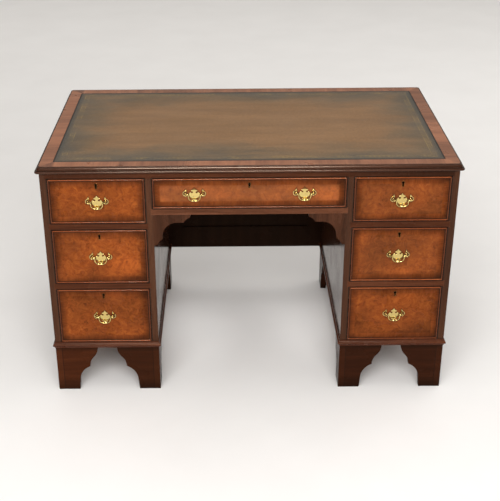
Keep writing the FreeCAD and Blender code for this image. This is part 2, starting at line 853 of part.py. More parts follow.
bottoms = []
for hand, sign in SIDES:
    offset = pedestal_offset * sign
    nodes[f"{hand}_drawer_rails"] = copy_at(f"{hand}_drawer_rails", rail_group, offset, 0, 0)
    nodes[f"{hand}_drawer_runners"] = copy_at(f"{hand}_drawer_runners", runner_group, offset, 0, 0)
    nodes[f"{hand}_back_panel"] = copy_at(f"{hand}_back_panel", back_panel, offset, 0, 0)
    nodes[f"{hand}_base_moulding"] = copy_at(
        f"{hand}_base_moulding", base_frame, offset, middle, s.foot_height
    )
    nodes[f"{hand}_bracket_feet"] = copy_at(f"{hand}_bracket_feet", foot_group, offset, 0, 0)
    bottoms.append(copy_at(f"{hand}_bottom_board", bottom_board, offset, 0, 0))
nodes["bottom_boards"] = group("bottom_boards", bottoms)

# The four upright sides, housed for all that runs into them
for hand, sign in SIDES:
    housed = [nodes[f"{hand}_{piece}"] for piece in ("drawer_rails", "drawer_runners", "back_panel")]
    housed += [nodes["bottom_boards"], nodes["frieze_rail"], nodes["kneehole_rail"]]
    outer_x = carcass_width / 2 - s.side_thickness
    for position, reach in (("outer", outer_x), ("inner", kneehole_half)):
        name = f"{hand}_{position}_side"
        start = reach if sign > 0 else -reach - s.side_thickness
        plain = board(
            f"{name}_board", (start, front, s.foot_height), (s.side_thickness, carcass_depth, carcass_height)
        )
        nodes[name] = let_in(name, plain, housed)

# Centre drawer: runners under it, kickers over it and its two stops
runner_run = drawer_depth - s.rail_depth
centre_runners = stops("centre", kneehole, centre_level)
for level_name, level, thickness in (
    ("runner", kneehole_rail_level, s.kneehole_rail_height),
    ("kicker", frieze_level, s.frieze_rail_height),
):
    for hand, start in (("left", -kneehole_half), ("right", kneehole_half - s.runner_width)):
        centre_runners.append(board(
            f"centre_{hand}_{level_name}", (start, runner_start, level),
            (s.runner_width, runner_run, thickness),
        ))
nodes["centre_drawer_runners"] = group("centre_drawer_runners", centre_runners)

# Spandrels under the kneehole rail
hollow = s.spandrel_band + s.spandrel_hollow
spandrel = prism("spandrel", "XZ_Plane", [[
    (0, 0),
    (0, -s.spandrel_drop),
    (s.spandrel_toe, -s.spandrel_drop),
    (s.spandrel_band, -s.spandrel_drop + s.spandrel_cusp, SPANDREL_TIP_BULGE),
    (s.spandrel_band, -hollow),
    (hollow, -s.spandrel_band, -QUARTER_ROUND),
    (s.spandrel_length - s.spandrel_cusp, -s.spandrel_band),
    (s.spandrel_length, -s.spandrel_toe, SPANDREL_TIP_BULGE),
    (s.spandrel_length, 0),
]], s.spandrel_thickness)
nodes["kneehole_spandrels"] = group("kneehole_spandrels", [
    copy_at("left_spandrel", spandrel, -kneehole_half, front + s.spandrel_thickness, kneehole_rail_level),
    copy_at("right_spandrel", spandrel, kneehole_half, front, kneehole_rail_level, HALF_TURN),
])

# Panelled back of the kneehole, scribed over the base mouldings
frame_face = rear - s.frame_thickness
panel_gap = (s.frame_thickness - s.panel_thickness) / 2
opening_low = s.foot_height + s.frame_bottom_width
opening_high = carcass_top - s.frame_top_width
opening_half = kneehole_half - s.frame_stile_width
field = board(
    "kneehole_field",
    (-opening_half - s.panel_tongue, frame_face + panel_gap, opening_low - s.panel_tongue),
    (2 * (opening_half + s.panel_tongue), s.panel_thickness,
     opening_high - opening_low + 2 * s.panel_tongue),
)
frame_pieces = [field]
for member, corner, extent in (
    ("bottom", (-kneehole_half, frame_face, s.foot_height),
     (kneehole, s.frame_thickness, s.frame_bottom_width)),
    ("top", (-kneehole_half, frame_face, opening_high),
     (kneehole, s.frame_thickness, s.frame_top_width)),
    ("left", (-kneehole_half, frame_face, opening_low),
     (s.frame_stile_width, s.frame_thickness, opening_high - opening_low)),
    ("right", (opening_half, frame_face, opening_low),
     (s.frame_stile_width, s.frame_thickness, opening_high - opening_low)),
):
    member_board = board(f"frame_{member}_board", corner, extent)
    neighbours = [field, nodes["left_base_moulding"], nodes["right_base_moulding"]]
    frame_pieces.append(let_in(f"frame_{member}", member_board, neighbours))
nodes["kneehole_back"] = group("kneehole_back", frame_pieces)

# Writing top: board, moulded edge, crossbanded border and leather
board_width = s.top_width - 2 * s.edge_width
board_depth = s.top_depth - 2 * s.edge_width
leather_width = s.top_width - 2 * s.leather_margin
leather_depth = s.top_depth - 2 * s.leather_margin
banding_width = s.leather_margin - s.edge_width
banding_level = carcass_top + s.top_board_thickness
edge_height = s.top_board_thickness + s.banding_thickness
nodes["top_board"] = board(
    "top_board", (-board_width / 2, middle - board_depth / 2, carcass_top),
    (board_width, board_depth, s.top_board_thickness),
)
nodes["leather_inlay"] = board(
    "leather_inlay", (-leather_width / 2, middle - leather_depth / 2, banding_level),
    (leather_width, leather_depth, s.leather_thickness),
)
banding_frame = mitred_frame(
    "banding_frame", leather_width, leather_depth, banding_width, 0, s.banding_thickness,
    [(0, 0), (banding_width, 0), (banding_width, s.banding_thickness), (0, s.banding_thickness)],
)
nodes["top_crossbanding"] = copy_at("top_crossbanding", banding_frame, 0, middle, banding_level)
thumb = s.edge_width - s.edge_thumb_inset
bead_bulge = bulge_of(s.edge_width - s.edge_bead_root, s.edge_bead_high - s.edge_bead_low)
edge_profile = [
    (0, 0),
    (s.edge_foot, 0),
    (s.edge_bead_root, s.edge_bead_low),
    (s.edge_bead_root, s.edge_bead_high, bead_bulge),
    (s.edge_quirk, s.edge_bead_high),
    (s.edge_quirk, s.edge_thumb_low),
    (thumb, edge_height, QUARTER_ROUND),
    (0, edge_height),
]
edge_frame = mitred_frame(
    "edge_frame", board_width, board_depth, s.edge_width, 0, edge_height, edge_profile
)
nodes["top_edge_moulding"] = copy_at("top_edge_moulding", edge_frame, 0, middle, carcass_top)

doc.recompute()
failed = [obj.Name for obj in doc.Objects if {"Invalid", "Error"} & set(obj.State)]
if failed:
    raise RuntimeError(f"failed objects: {failed}")
for name, obj in nodes.items():
    obj.Label = name
    if obj.Shape.isNull() or not obj.Shape.isValid() or not obj.Shape.Solids:
        raise RuntimeError(f"bad shape: {name}")

os.makedirs("parts", exist_ok=True)
for name, obj in nodes.items():
    solids = obj.Shape.Solids
    shape = solids[0] if len(solids) == 1 else Part.makeCompound(solids)
    shape.exportStep(os.path.join("parts", f"{name}.step"))
print(len(nodes), "nodes,", sum(len(obj.Shape.Solids) for obj in nodes.values()), "solids")
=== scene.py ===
"""Looks of the kneehole desk: polished walnut, burr veneers, tooled leather and brass.

X runs along the desk, Y from the front to the back and Z up, in metres. The solids get finishes
worked out from the place on them. The top's leather, crossbanding and moulded edge are made here
in place of plainer solids.
"""

from math import radians

import bpy
import numpy as np
from mathutils import Matrix, Vector


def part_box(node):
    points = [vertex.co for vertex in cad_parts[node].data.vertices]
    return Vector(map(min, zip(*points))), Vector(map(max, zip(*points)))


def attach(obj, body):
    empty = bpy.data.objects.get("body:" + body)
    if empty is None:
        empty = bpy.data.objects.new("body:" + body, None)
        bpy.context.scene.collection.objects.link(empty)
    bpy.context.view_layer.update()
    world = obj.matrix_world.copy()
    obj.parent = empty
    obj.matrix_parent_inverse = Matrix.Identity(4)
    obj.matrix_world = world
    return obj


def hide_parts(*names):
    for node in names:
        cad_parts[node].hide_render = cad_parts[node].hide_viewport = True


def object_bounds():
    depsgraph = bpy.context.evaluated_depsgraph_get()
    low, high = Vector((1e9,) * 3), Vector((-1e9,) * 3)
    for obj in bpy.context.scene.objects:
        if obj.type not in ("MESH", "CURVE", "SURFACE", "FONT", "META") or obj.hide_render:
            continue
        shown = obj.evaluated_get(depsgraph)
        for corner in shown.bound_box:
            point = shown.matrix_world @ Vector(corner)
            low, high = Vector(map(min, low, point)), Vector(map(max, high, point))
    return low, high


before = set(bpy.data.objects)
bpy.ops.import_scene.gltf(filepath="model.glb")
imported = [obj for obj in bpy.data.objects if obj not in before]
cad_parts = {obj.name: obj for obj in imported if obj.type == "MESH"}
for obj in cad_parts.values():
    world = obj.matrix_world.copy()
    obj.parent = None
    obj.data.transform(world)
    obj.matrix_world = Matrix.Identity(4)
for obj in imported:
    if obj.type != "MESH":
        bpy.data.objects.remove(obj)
cad_low, cad_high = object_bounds()


def tone(red, green, blue):
    """A colour with full cover."""
    return (red, green, blue, 1.0)


# The photograph's frame and the camera that fits it
IMAGE_WIDTH = 500
IMAGE_HEIGHT = 501
FOCAL_PIXELS = 1008.4
PRINCIPAL_POINT = (230.8, 250.8)
CAMERA_PLACE = (-0.0577, -3.0922, 1.8437)
CAMERA_PITCH = 26.343
CAMERA_YAW = 0.032
CAMERA_ROLL = -0.458
SENSOR_WIDTH = 36.0

# Widths worked into the finish. Pairs are the places where a soft step is 0 and 1.
SOFT_EDGE = 0.001
BEAD_THICKNESS = 0.004
# BESIDE_BEAD places the painted shade inside each cock bead
BESIDE_BEAD = (0.0030, 0.0010)
FIELD_EDGE = (0.0150, 0.0200)
FRONT_SHADE = 0.026
RAGGED_SPREAD = 0.05
RAGGED_SHIFT = -0.026
SIDE_BOARD = 0.02
ON_FACE = (0.003, 0.001)
BOARD_JOINT = (0.0016, 0.0006)
BACK_REBATE = 0.006
LOCK_ABOVE_PLATE = 0.0345
LET_IN = (-0.0003, 0.0002)
VENEER_LEAF = 0.19
# Where the painted shade at the desk's ends starts and where it is full
DARK_END_START = 0.15
DARK_END_FULL = 0.62
TOE_SHADE = 0.05
UNDER_SHADE = 0.016
# Painted shadow round each drawer: full nearer than GAP_NEAR, gone beyond GAP_FAR
GAP_NEAR = 0.0024
GAP_FAR = 0.0048
WAX_AND_SHADE_REACH = 0.007
BRASS_WAX_AND_SHADE_REACH = 0.0035

# Radii of rubbed arrises and depths of fine relief
WORN_RADIUS = 0.0009
VENEER_WORN_RADIUS = 0.0006
BRASS_WORN_RADIUS = 0.0005
WOOD_RELIEF = 0.00012
VENEER_RELIEF = 0.0001
FINE_RELIEF = 0.00003
LEATHER_RELIEF = 0.00016
BRASS_RELIEF = 0.00008

# The leather and its tooled border
BORDER_LINES = (0.020, 0.0335)
BORDER_LINE_WIDTH = 0.0011
BORDER_LINE_DEPTH = 0.00022
BORDER_REPEAT = 0.0135
BORDER_ROOM = 0.002
LEATHER_ROLL = 0.0014
ROLL_STEPS = 6
PLAIN_INSETS = (0.006, 0.012)
FIELD_INSET = 0.045
FIELD_STEPS = 25
LEATHER_JOINT = (0.0062, 0.0034)

# The top's moulded edge: corners in plan, and its profile outward and up from its inner lower edge
EDGE_WIDTH = 0.012
EDGE_HEIGHT = 0.020
EDGE_FOOT = 0.0078
EDGE_BEAD_ROOT = 0.0086
EDGE_BEAD_LOW = 0.0002
EDGE_BEAD_HIGH = 0.0078
EDGE_QUIRK = 0.0060
EDGE_THUMB_NOSE = 0.0070
EDGE_THUMB_LOW = 0.0092
EDGE_THUMB_HIGH = 0.0174
EDGE_THUMB_BACK = 0.0030
BEAD_STEPS = 19
THUMB_STEPS = 13
PLAN_RADIUS = 0.010
LEATHER_CORNER = 0.0003
PLAN_STEPS = 13
SHARP_FOLD = radians(35)

# The studio
FLOOR_HALF = 14.0
FADE_START = 5.5
FADE_END = 13.0
SKY_FILL = 0.32
SKY_SEEN = 0.75
SKY_TONE = tone(1.0, 0.95, 0.88)
FLOOR_TONES = (tone(0.86, 0.84, 0.82), tone(0.89, 0.87, 0.85))
FAR_GLOW = tone(0.46, 0.43, 0.40)
BLACK = tone(0.0, 0.0, 0.0)

# Tones of the woods: dark, middle and light
WALNUT = (tone(0.036, 0.008, 0.003), tone(0.086, 0.021, 0.007), tone(0.15, 0.042, 0.016))
SIDE_WALNUT = (
    tone(0.018, 0.0055, 0.0025), tone(0.046, 0.0145, 0.006), tone(0.084, 0.030, 0.013))
KNEEHOLE_WALNUT = (
    tone(0.040, 0.013, 0.006), tone(0.098, 0.034, 0.016), tone(0.17, 0.064, 0.033))
SPANDREL_WALNUT = (
    tone(0.017, 0.006, 0.003), tone(0.045, 0.015, 0.007), tone(0.08, 0.028, 0.014))
RAIL_WALNUT = (tone(0.026, 0.007, 0.003), tone(0.064, 0.018, 0.007), tone(0.11, 0.035, 0.015))
BASE_WALNUT = (tone(0.030, 0.007, 0.003), tone(0.070, 0.018, 0.007), tone(0.12, 0.035, 0.013))
EDGE_WALNUT = (tone(0.020, 0.005, 0.0022), tone(0.047, 0.0125, 0.005), tone(0.085, 0.025, 0.010))
# Cock beads: a bright orange, part their own tone and part painted highlight
BEAD_WALNUT_AND_HIGHLIGHT = (tone(0.075, 0.016, 0.004), tone(0.19, 0.042, 0.010), tone(0.32, 0.085, 0.022))
# Feet: the left ones lighter and the right ones darker, part their own tone and part painted light
# and shade
LIT_AND_SHADED_FOOT_WALNUT = {
    "left": (tone(0.030, 0.008, 0.003), tone(0.050, 0.0125, 0.004), tone(0.078, 0.021, 0.007)),
    "right": (
        tone(0.016, 0.0044, 0.0017), tone(0.027, 0.007, 0.0026), tone(0.045, 0.012, 0.0045)),
}
LINING = (tone(0.22, 0.125, 0.06), tone(0.34, 0.21, 0.105), tone(0.45, 0.29, 0.155))
BURR = (tone(0.11, 0.020, 0.003), tone(0.27, 0.056, 0.008), tone(0.42, 0.108, 0.016))
FRONT_BAND = (tone(0.095, 0.020, 0.004), tone(0.20, 0.045, 0.009), tone(0.30, 0.080, 0.016))
TOP_BAND = (tone(0.13, 0.046, 0.022), tone(0.25, 0.100, 0.050), tone(0.39, 0.16, 0.080))
SHADED_WALNUT = tone(0.007, 0.003, 0.0015)
BURR_EYES = tone(0.065, 0.012, 0.003)
# A paler burr tone: part fading by light, part painted haze of reflection
FADED_AND_HAZED_BURR = tone(0.30, 0.13, 0.06)
# Dark wax, also used as painted shade in hollows, beside the beads and round the drawers
WAX_AND_SHADE = tone(0.012, 0.006, 0.004)
WARM_POLISH = tone(1.0, 0.78, 0.60)

# Painted shade along the desk: where it starts, where it is full, and its share
FRIEZE_DARK = (0.1, 0.45, 0.5)
LEFT_FOOT_DARK = (-0.5, -0.42, 0.42)

# Tones of the leather, from its edge to its rubbed middle, and of the brass
LEATHER = (tone(0.080, 0.068, 0.051), tone(0.150, 0.097, 0.051), tone(0.225, 0.120, 0.051))
LEATHER_RIM = tone(0.055, 0.050, 0.040)
JOINT_DIRT_AND_SHADE = tone(0.012, 0.008, 0.006)
GILT = tone(0.34, 0.23, 0.075)
BRASS = tone(0.55, 0.42, 0.155)
DULL_BRASS = tone(0.30, 0.20, 0.06)
BRIGHT_BRASS = tone(0.86, 0.70, 0.32)
AGED_BRASS = tone(0.17, 0.085, 0.025)

NUMBER = "NodeSocketFloat"
VECTOR = "NodeSocketVector"
HANDS = ("left", "right")
DRAWERS = [f"{hand}_{level}_drawer" for hand in HANDS for level in ("top", "middle", "bottom")]
DRAWERS.append("centre_drawer")

# The strength of each drawer's veneer, part its own tone and part painted light and shade, and the
# share of a paler tone, part fading by light and part painted haze of reflection
VENEER_TONE_AND_LIGHT = (0.66, 0.85, 0.67, 0.62, 0.72, 0.60, 0.92)
VENEER_FADED_AND_HAZED = (0.04, 0.05, 0.05, 0.1, 0.1, 0.05, 0.25)


def node_box(node):
    """Lowest and highest corner of a CAD node as arrays."""
    low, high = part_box(node)
    return np.array(low), np.array(high)


class Nodes:
    """Adds shader nodes to a tree and links their sockets."""

    def __init__(self, tree):
        self.tree = tree

    def add(self, kind, inputs=None, **settings):
        """A node with its settings, and inputs that are set to a value or linked to a socket."""
        node = self.tree.nodes.new(kind)
        for name, value in settings.items():
            setattr(node, name, value)
        for name, value in (inputs or {}).items():
            self.feed(node.inputs[name], value)
        return node

    def feed(self, socket, value):
        """Link a socket to another one, or set it."""
        if isinstance(value, bpy.types.NodeSocket):
            self.tree.links.new(value, socket)
        else:
            socket.default_value = value

    def group(self, name, inputs):
        """One of the shared groups with its own values."""
        return self.add("ShaderNodeGroup", inputs, node_tree=bpy.data.node_groups[name]).outputs

    def math(self, operation, first, second=0.0, third=0.0):
        """One step of arithmetic on numbers."""
        node = self.add("ShaderNodeMath", operation=operation)
        for socket, value in zip(node.inputs, (first, second, third)):
            self.feed(socket, value)
        return node.outputs[0]

    def average(self, first, share, second):
        """Two numbers averaged by the first one's share."""
        rest = self.math("MULTIPLY", second, 1.0 - share)
        return self.math("MULTIPLY_ADD", first, share, rest)

    def vector(self, operation, first, second):
        """One step of arithmetic on vectors."""
        node = self.add("ShaderNodeVectorMath", operation=operation)
        self.feed(node.inputs[0], first)
        self.feed(node.inputs[1], second)
        return node.outputs["Value" if operation == "DOT_PRODUCT" else "Vector"]

    def scaled(self, vector, scale):
        """A vector times a number."""
        inputs = {"Vector": vector, "Scale": scale}
        return self.add("ShaderNodeVectorMath", inputs, operation="SCALE").outputs["Vector"]

    def split(self, vector):
        """The X, Y and Z of a vector."""
        return self.add("ShaderNodeSeparateXYZ", {"Vector": vector}).outputs

    def from_middle(self, place, low, high):
        """The X, Y and Z of a place from the middle of a box."""
        return self.split(self.vector("SUBTRACT", place, tuple((low + high) / 2)))

    def join(self, x, y, z):
        """A vector from its X, Y and Z."""
        return self.add("ShaderNodeCombineXYZ", {"X": x, "Y": y, "Z": z}).outputs["Vector"]

    def step(self, value, low, high):
        """A smooth rise from 0 at low to 1 at high."""
        node = self.add(
            "ShaderNodeMapRange", {"Value": value, "From Min": low, "From Max": high},
            interpolation_type="SMOOTHSTEP",
        )
        return node.outputs["Result"]

    def carry(self, value, low, high, start, end):
        """A number carried from one range to another, held at its ends."""
        node = self.add("ShaderNodeMapRange", {
            "Value": value, "From Min": low, "From Max": high, "To Min": start, "To Max": end,
        })
        return node.outputs["Result"]

    def mix(self, share, first, second, blend="MIX"):
        """Two colours mixed by a share."""
        node = self.add("ShaderNodeMix", data_type="RGBA", blend_type=blend)
        given = {"Factor_Float": share, "A_Color": first, "B_Color": second}
        for socket in node.inputs:
            if socket.identifier in given:
                self.feed(socket, given[socket.identifier])
        return next(s for s in node.outputs if s.identifier == "Result_Color")

    def lay(self, base, over, mask, share):
        """A colour laid over a base by a mask, up to a share."""
        return self.mix(self.math("MULTIPLY", mask, share), base, over)

    def shade(self, base, value):
        """A colour times a number."""
        grey = self.add("ShaderNodeCombineColor", {"Red": value, "Green": value, "Blue": value})
        return self.mix(1.0, base, grey.outputs["Color"], "MULTIPLY")

    def ramp(self, value, places, tones):
        """A colour that runs through tones at their places."""
        node = self.add("ShaderNodeValToRGB", {"Fac": value})
        elements = node.color_ramp.elements
        while len(elements) < len(tones):
            elements.new(1.0)
        for element, place, colour in zip(elements, places, tones):
            element.position = place
            element.color = colour
        return node.outputs["Color"]

    def noise(self, vector, scale, detail=3.0, roughness=0.55, distortion=0.0):
        """Soft noise between 0 and 1."""
        node = self.add("ShaderNodeTexNoise", {
            "Vector": vector, "Scale": scale, "Detail": detail, "Roughness": roughness,
            "Distortion": distortion,
        })
        return node.outputs["Fac"]

    def drawn_noise(self, vector, scales, detail, roughness=0.55, distortion=0.0):
        """Soft noise with its own scale along each axis."""
        stretched = self.vector("MULTIPLY", vector, scales)
        return self.noise(stretched, 1.0, detail, roughness, distortion)


def new_group(name, inputs, outputs):
    """An empty shader group with named sockets: its nodes, its inputs and its outputs."""
    tree = bpy.data.node_groups.new(name, "ShaderNodeTree")
    for socket, kind in inputs:
        tree.interface.new_socket(socket, in_out="INPUT", socket_type=kind)
    for socket, kind in outputs:
        tree.interface.new_socket(socket, in_out="OUTPUT", socket_type=kind)
    nodes = Nodes(tree)
    return nodes, nodes.add("NodeGroupInput").outputs, nodes.add("NodeGroupOutput").inputs


def make_straight_grain():
    """Grain along Z of its vector: fine fibres, broad stripes and short dark pores."""
    nodes, given, result = new_group(
        "straight_grain", [("Vector", VECTOR)],
        [("Fibre", NUMBER), ("Stripe", NUMBER), ("Pores", NUMBER)],
    )
    place = given["Vector"]
    drift = nodes.drawn_noise(place, (3.0, 3.0, 2.2), detail=2.0)
    bent = nodes.vector("ADD", place, nodes.scaled(nodes.join(drift, drift, 0.0), 0.045))
    fibre = nodes.drawn_noise(bent, (420.0, 420.0, 9.0), detail=4.0, roughness=0.62)
    stripe = nodes.drawn_noise(
        bent, (34.0, 34.0, 1.4), detail=3.0, roughness=0.6, distortion=0.35)
    dots = nodes.drawn_noise(bent, (950.0, 950.0, 42.0), detail=1.0)
    nodes.feed(result["Fibre"], fibre)
    nodes.feed(result["Stripe"], stripe)
    nodes.feed(result["Pores"], nodes.step(dots, 0.62, 0.74))


def make_burr_figure():
    """Burr figure: curls of noise bent by noise, small dark eyes, a soft cloud and flecks."""
    nodes, given, result = new_group(
        "burr_figure", [("Vector", VECTOR)],
        [("Curl", NUMBER), ("Eyes", NUMBER), ("Cloud", NUMBER), ("Fleck", NUMBER)],
    )
    place = given["Vector"]
    bend = nodes.add("ShaderNodeTexNoise", {"Vector": place, "Scale": 16.0, "Detail": 3.0})
    bent = nodes.vector("ADD", place, nodes.scaled(bend.outputs["Color"], 0.055))
    cells = nodes.add("ShaderNodeTexVoronoi", {"Vector": bent, "Scale": 95.0})
    eyes = nodes.step(cells.outputs["Distance"], 0.3, 0.06)
    patches = nodes.step(nodes.noise(place, scale=21.0, detail=2.0), 0.5, 0.66)
    curl = nodes.noise(bent, scale=62.0, detail=5.0, roughness=0.62, distortion=0.9)
    nodes.feed(result["Curl"], curl)
    nodes.feed(result["Eyes"], nodes.math("MULTIPLY", eyes, patches))
    nodes.feed(result["Cloud"], nodes.noise(place, scale=7.5, detail=2.0))
    nodes.feed(result["Fleck"], nodes.noise(bent, scale=330.0, detail=3.0, roughness=0.65))


def make_edge_inset():
    """Place on a rectangle: the way in from its nearest and next edge, and along the nearest."""
    nodes, given, result = new_group(
        "edge_inset",
        [("Across", NUMBER), ("Up", NUMBER), ("Half Width", NUMBER), ("Half Height", NUMBER)],
        [("Inset", NUMBER), ("Next Inset", NUMBER), ("Along", NUMBER), ("End", NUMBER)],
    )
    across, up = given["Across"], given["Up"]
    from_end = nodes.math("SUBTRACT", given["Half Width"], nodes.math("ABSOLUTE", across))
    from_edge = nodes.math("SUBTRACT", given["Half Height"], nodes.math("ABSOLUTE", up))
    end = nodes.math("LESS_THAN", from_end, from_edge)
    long_way = nodes.math("MULTIPLY", across, nodes.math("SUBTRACT", 1.0, end))
    nodes.feed(result["Inset"], nodes.math("MINIMUM", from_end, from_edge))
    nodes.feed(result["Next Inset"], nodes.math("MAXIMUM", from_end, from_edge))
    nodes.feed(result["Along"], nodes.math("MULTIPLY_ADD", up, end, long_way))
    nodes.feed(result["End"], end)


def make_worn_and_lit_edge():
    """Rubbed arrises, which also carry painted highlights: where a rounded normal leaves the true
    one, and that rounded normal.
    """
    nodes, given, result = new_group(
        "worn_and_lit_edge", [("Vector", VECTOR), ("Radius", NUMBER)],
        [("Mask", NUMBER), ("Normal", VECTOR)],
    )
    bevel = nodes.add("ShaderNodeBevel", {"Radius": given["Radius"]}, samples=6)
    rounded = bevel.outputs["Normal"]
    true = nodes.add("ShaderNodeNewGeometry").outputs["Normal"]
    apart = nodes.math("SUBTRACT", 1.0, nodes.vector("DOT_PRODUCT", rounded, true))
    patchy = nodes.noise(given["Vector"], scale=38.0, detail=4.0)
    broken = nodes.carry(patchy, 0.35, 0.65, start=0.25, end=1.0)
    nodes.feed(result["Mask"], nodes.math("MULTIPLY", nodes.step(apart, 0.01, 0.2), broken))
    nodes.feed(result["Normal"], rounded)


def make_wax_and_shade():
    """Dark wax and painted shade in the hollows: a mask of how far nearby faces close a place in.
    """
    nodes, given, result = new_group(
        "wax_and_shade", [("Vector", VECTOR), ("Reach", NUMBER)], [("Mask", NUMBER)])
    hollow = nodes.add("ShaderNodeAmbientOcclusion", {"Distance": given["Reach"]}, samples=6)
    shut = nodes.step(hollow.outputs["AO"], 0.95, 0.45)
    patchy = nodes.noise(given["Vector"], scale=30.0, detail=3.0)
    broken = nodes.carry(patchy, 0.3, 0.7, start=0.6, end=1.0)
    nodes.feed(result["Mask"], nodes.math("MULTIPLY", shut, broken))


def make_hand_polish():
    """Hand polish: roughness that drifts where it was rubbed, and a faint ripple of the film."""
    nodes, given, result = new_group(
        "hand_polish", [("Vector", VECTOR), ("Low", NUMBER), ("High", NUMBER)],
        [("Roughness", NUMBER), ("Ripple", NUMBER)],
    )
    patchy = nodes.noise(given["Vector"], scale=9.0, detail=4.0, roughness=0.6)
    share = nodes.step(patchy, 0.3, 0.7)
    spread = nodes.math("SUBTRACT", given["High"], given["Low"])
    nodes.feed(result["Roughness"], nodes.math("MULTIPLY_ADD", share, spread, given["Low"]))
    nodes.feed(result["Ripple"], nodes.noise(given["Vector"], scale=55.0, detail=2.0))


def make_drawer_gap():
    """The painted shadow line round a drawer: 1 close outside its box on the desk's face, 0 further
    off.
    """
    nodes, given, result = new_group(
        "drawer_gap", [("Vector", VECTOR), ("Middle", VECTOR), ("Half", VECTOR)],
        [("Mask", NUMBER)],
    )
    offset = nodes.vector("SUBTRACT", given["Vector"], given["Middle"])
    size = nodes.vector("ABSOLUTE", offset, (0, 0, 0))
    apart = nodes.split(nodes.vector("SUBTRACT", size, given["Half"]))
    close = nodes.step(nodes.math("MAXIMUM", apart["X"], apart["Z"]), GAP_FAR, GAP_NEAR)
    on_face = nodes.step(apart["Y"], GAP_NEAR, 0.0)
    nodes.feed(result["Mask"], nodes.math("MULTIPLY", close, on_face))


for make_group in (
    make_straight_grain, make_burr_figure, make_edge_inset, make_worn_and_lit_edge, make_wax_and_shade,
    make_hand_polish, make_drawer_gap,
):
    make_group()


def new_material(name):
    """A material with its shader: the material, its nodes, the shader and the place."""
    material = bpy.data.materials.new(name)
    material.use_nodes = True
    material.node_tree.nodes.clear()
    nodes = Nodes(material.node_tree)
    shader = nodes.add("ShaderNodeBsdfPrincipled")
    nodes.add("ShaderNodeOutputMaterial", {"Surface": shader.outputs["BSDF"]})
    place = nodes.add("ShaderNodeTexCoord").outputs["Object"]
    return material, nodes, shader, place


def finish(nodes, shader, colour, roughness):
    """Give a shader its colour and roughness."""
    nodes.feed(shader.inputs["Base Color"], colour)
    nodes.feed(shader.inputs["Roughness"], roughness)


def raise_grain(nodes, shader, height, distance, normal=None):
    """Bump a shader's normal, or another one, by a height."""
    inputs = {"Height": height, "Distance": distance}
    if normal is not None:
        inputs["Normal"] = normal
    bump = nodes.add("ShaderNodeBump", inputs)
    nodes.feed(shader.inputs["Normal"], bump.outputs["Normal"])


def darken_wax_and_shade(nodes, place, base, strength, reach=WAX_AND_SHADE_REACH):
    """A colour darkened where wax gathers, with painted shade in the hollows."""
    hollow_mask = nodes.group("wax_and_shade", {"Vector": place, "Reach": reach})["Mask"]
    return nodes.lay(base, WAX_AND_SHADE, hollow_mask, strength)


def rectangle(nodes, across, up, half_width, half_height):
    """The place on a rectangle, from its middle."""
    return nodes.group("edge_inset", {
        "Across": across, "Up": up, "Half Width": half_width, "Half Height": half_height})


def side_boards_show(low, high, light):
    """A change of colour that shows the side boards' edges on both faces, with a dark joint."""
    half = (high - low) / 2

    def change(nodes, place, base):
        offset = nodes.from_middle(place, low, high)
        from_side = nodes.math("SUBTRACT", half[0], nodes.math("ABSOLUTE", offset["X"]))
        from_face = nodes.math("SUBTRACT", half[1], nodes.math("ABSOLUTE", offset["Y"]))
        on_face = nodes.step(from_face, *ON_FACE)
        on_board = nodes.step(from_side, SIDE_BOARD, SIDE_BOARD - SOFT_EDGE)
        apart = nodes.math("ABSOLUTE", nodes.math("SUBTRACT", from_side, SIDE_BOARD))
        joint = nodes.math("MULTIPLY", on_face, nodes.step(apart, *BOARD_JOINT))
        base = nodes.lay(base, light, nodes.math("MULTIPLY", on_face, on_board), share=0.4)
        return nodes.lay(base, WAX_AND_SHADE, joint, share=0.8)

    return change


def dark_before(depth, dark):
    """A change of colour to a dark tone in front of a depth: painted shade."""

    def change(nodes, place, base):
        inside = nodes.step(nodes.split(place)["Y"], depth + SOFT_EDGE, depth)
        return nodes.lay(base, dark, inside, share=0.85)

    return change


def dark_ends(dark):
    """A change of colour to a dark tone towards both ends of the desk: painted shade where less
    light falls.
    """

    def change(nodes, place, base):
        far = nodes.math("ABSOLUTE", nodes.split(place)["X"])
        share = nodes.carry(far, DARK_END_START, DARK_END_FULL, start=0.0, end=0.6)
        return nodes.mix(share, base, dark)

    return change


def dark_across(start, full, share, dark):
    """A change of colour to a share of a dark tone, painted shade, from one place along the desk to
    another.
    """

    def change(nodes, place, base):
        here = nodes.carry(nodes.split(place)["X"], start, full, start=0.0, end=share)
        return nodes.mix(here, base, dark)

    return change


def dark_top_and_toe(low, high, dark):
    """A change of colour to painted shade on the feet, under the base moulding and at the floor."""

    def change(nodes, place, base):
        up = nodes.split(place)["Z"]
        under = nodes.carry(up, high[2] - UNDER_SHADE, high[2], start=0.0, end=0.65)
        toe = nodes.carry(up, low[2], low[2] + TOE_SHADE, start=0.6, end=0.0)
        return nodes.mix(nodes.math("MAXIMUM", under, toe), base, dark)

    return change


def dark_uprights(low, high, dark):
    """A change of colour to painted shade on the upright beads at a drawer's ends."""
    half_width = (high[0] - low[0]) / 2

    def change(nodes, place, base):
        across = nodes.math("ABSOLUTE", nodes.from_middle(place, low, high)["X"])
        from_end = nodes.math("SUBTRACT", half_width, across)
        share = nodes.carry(
            from_end, BEAD_THICKNESS, BEAD_THICKNESS + SOFT_EDGE, start=0.85, end=0.0)
        return nodes.mix(share, base, dark)

    return change


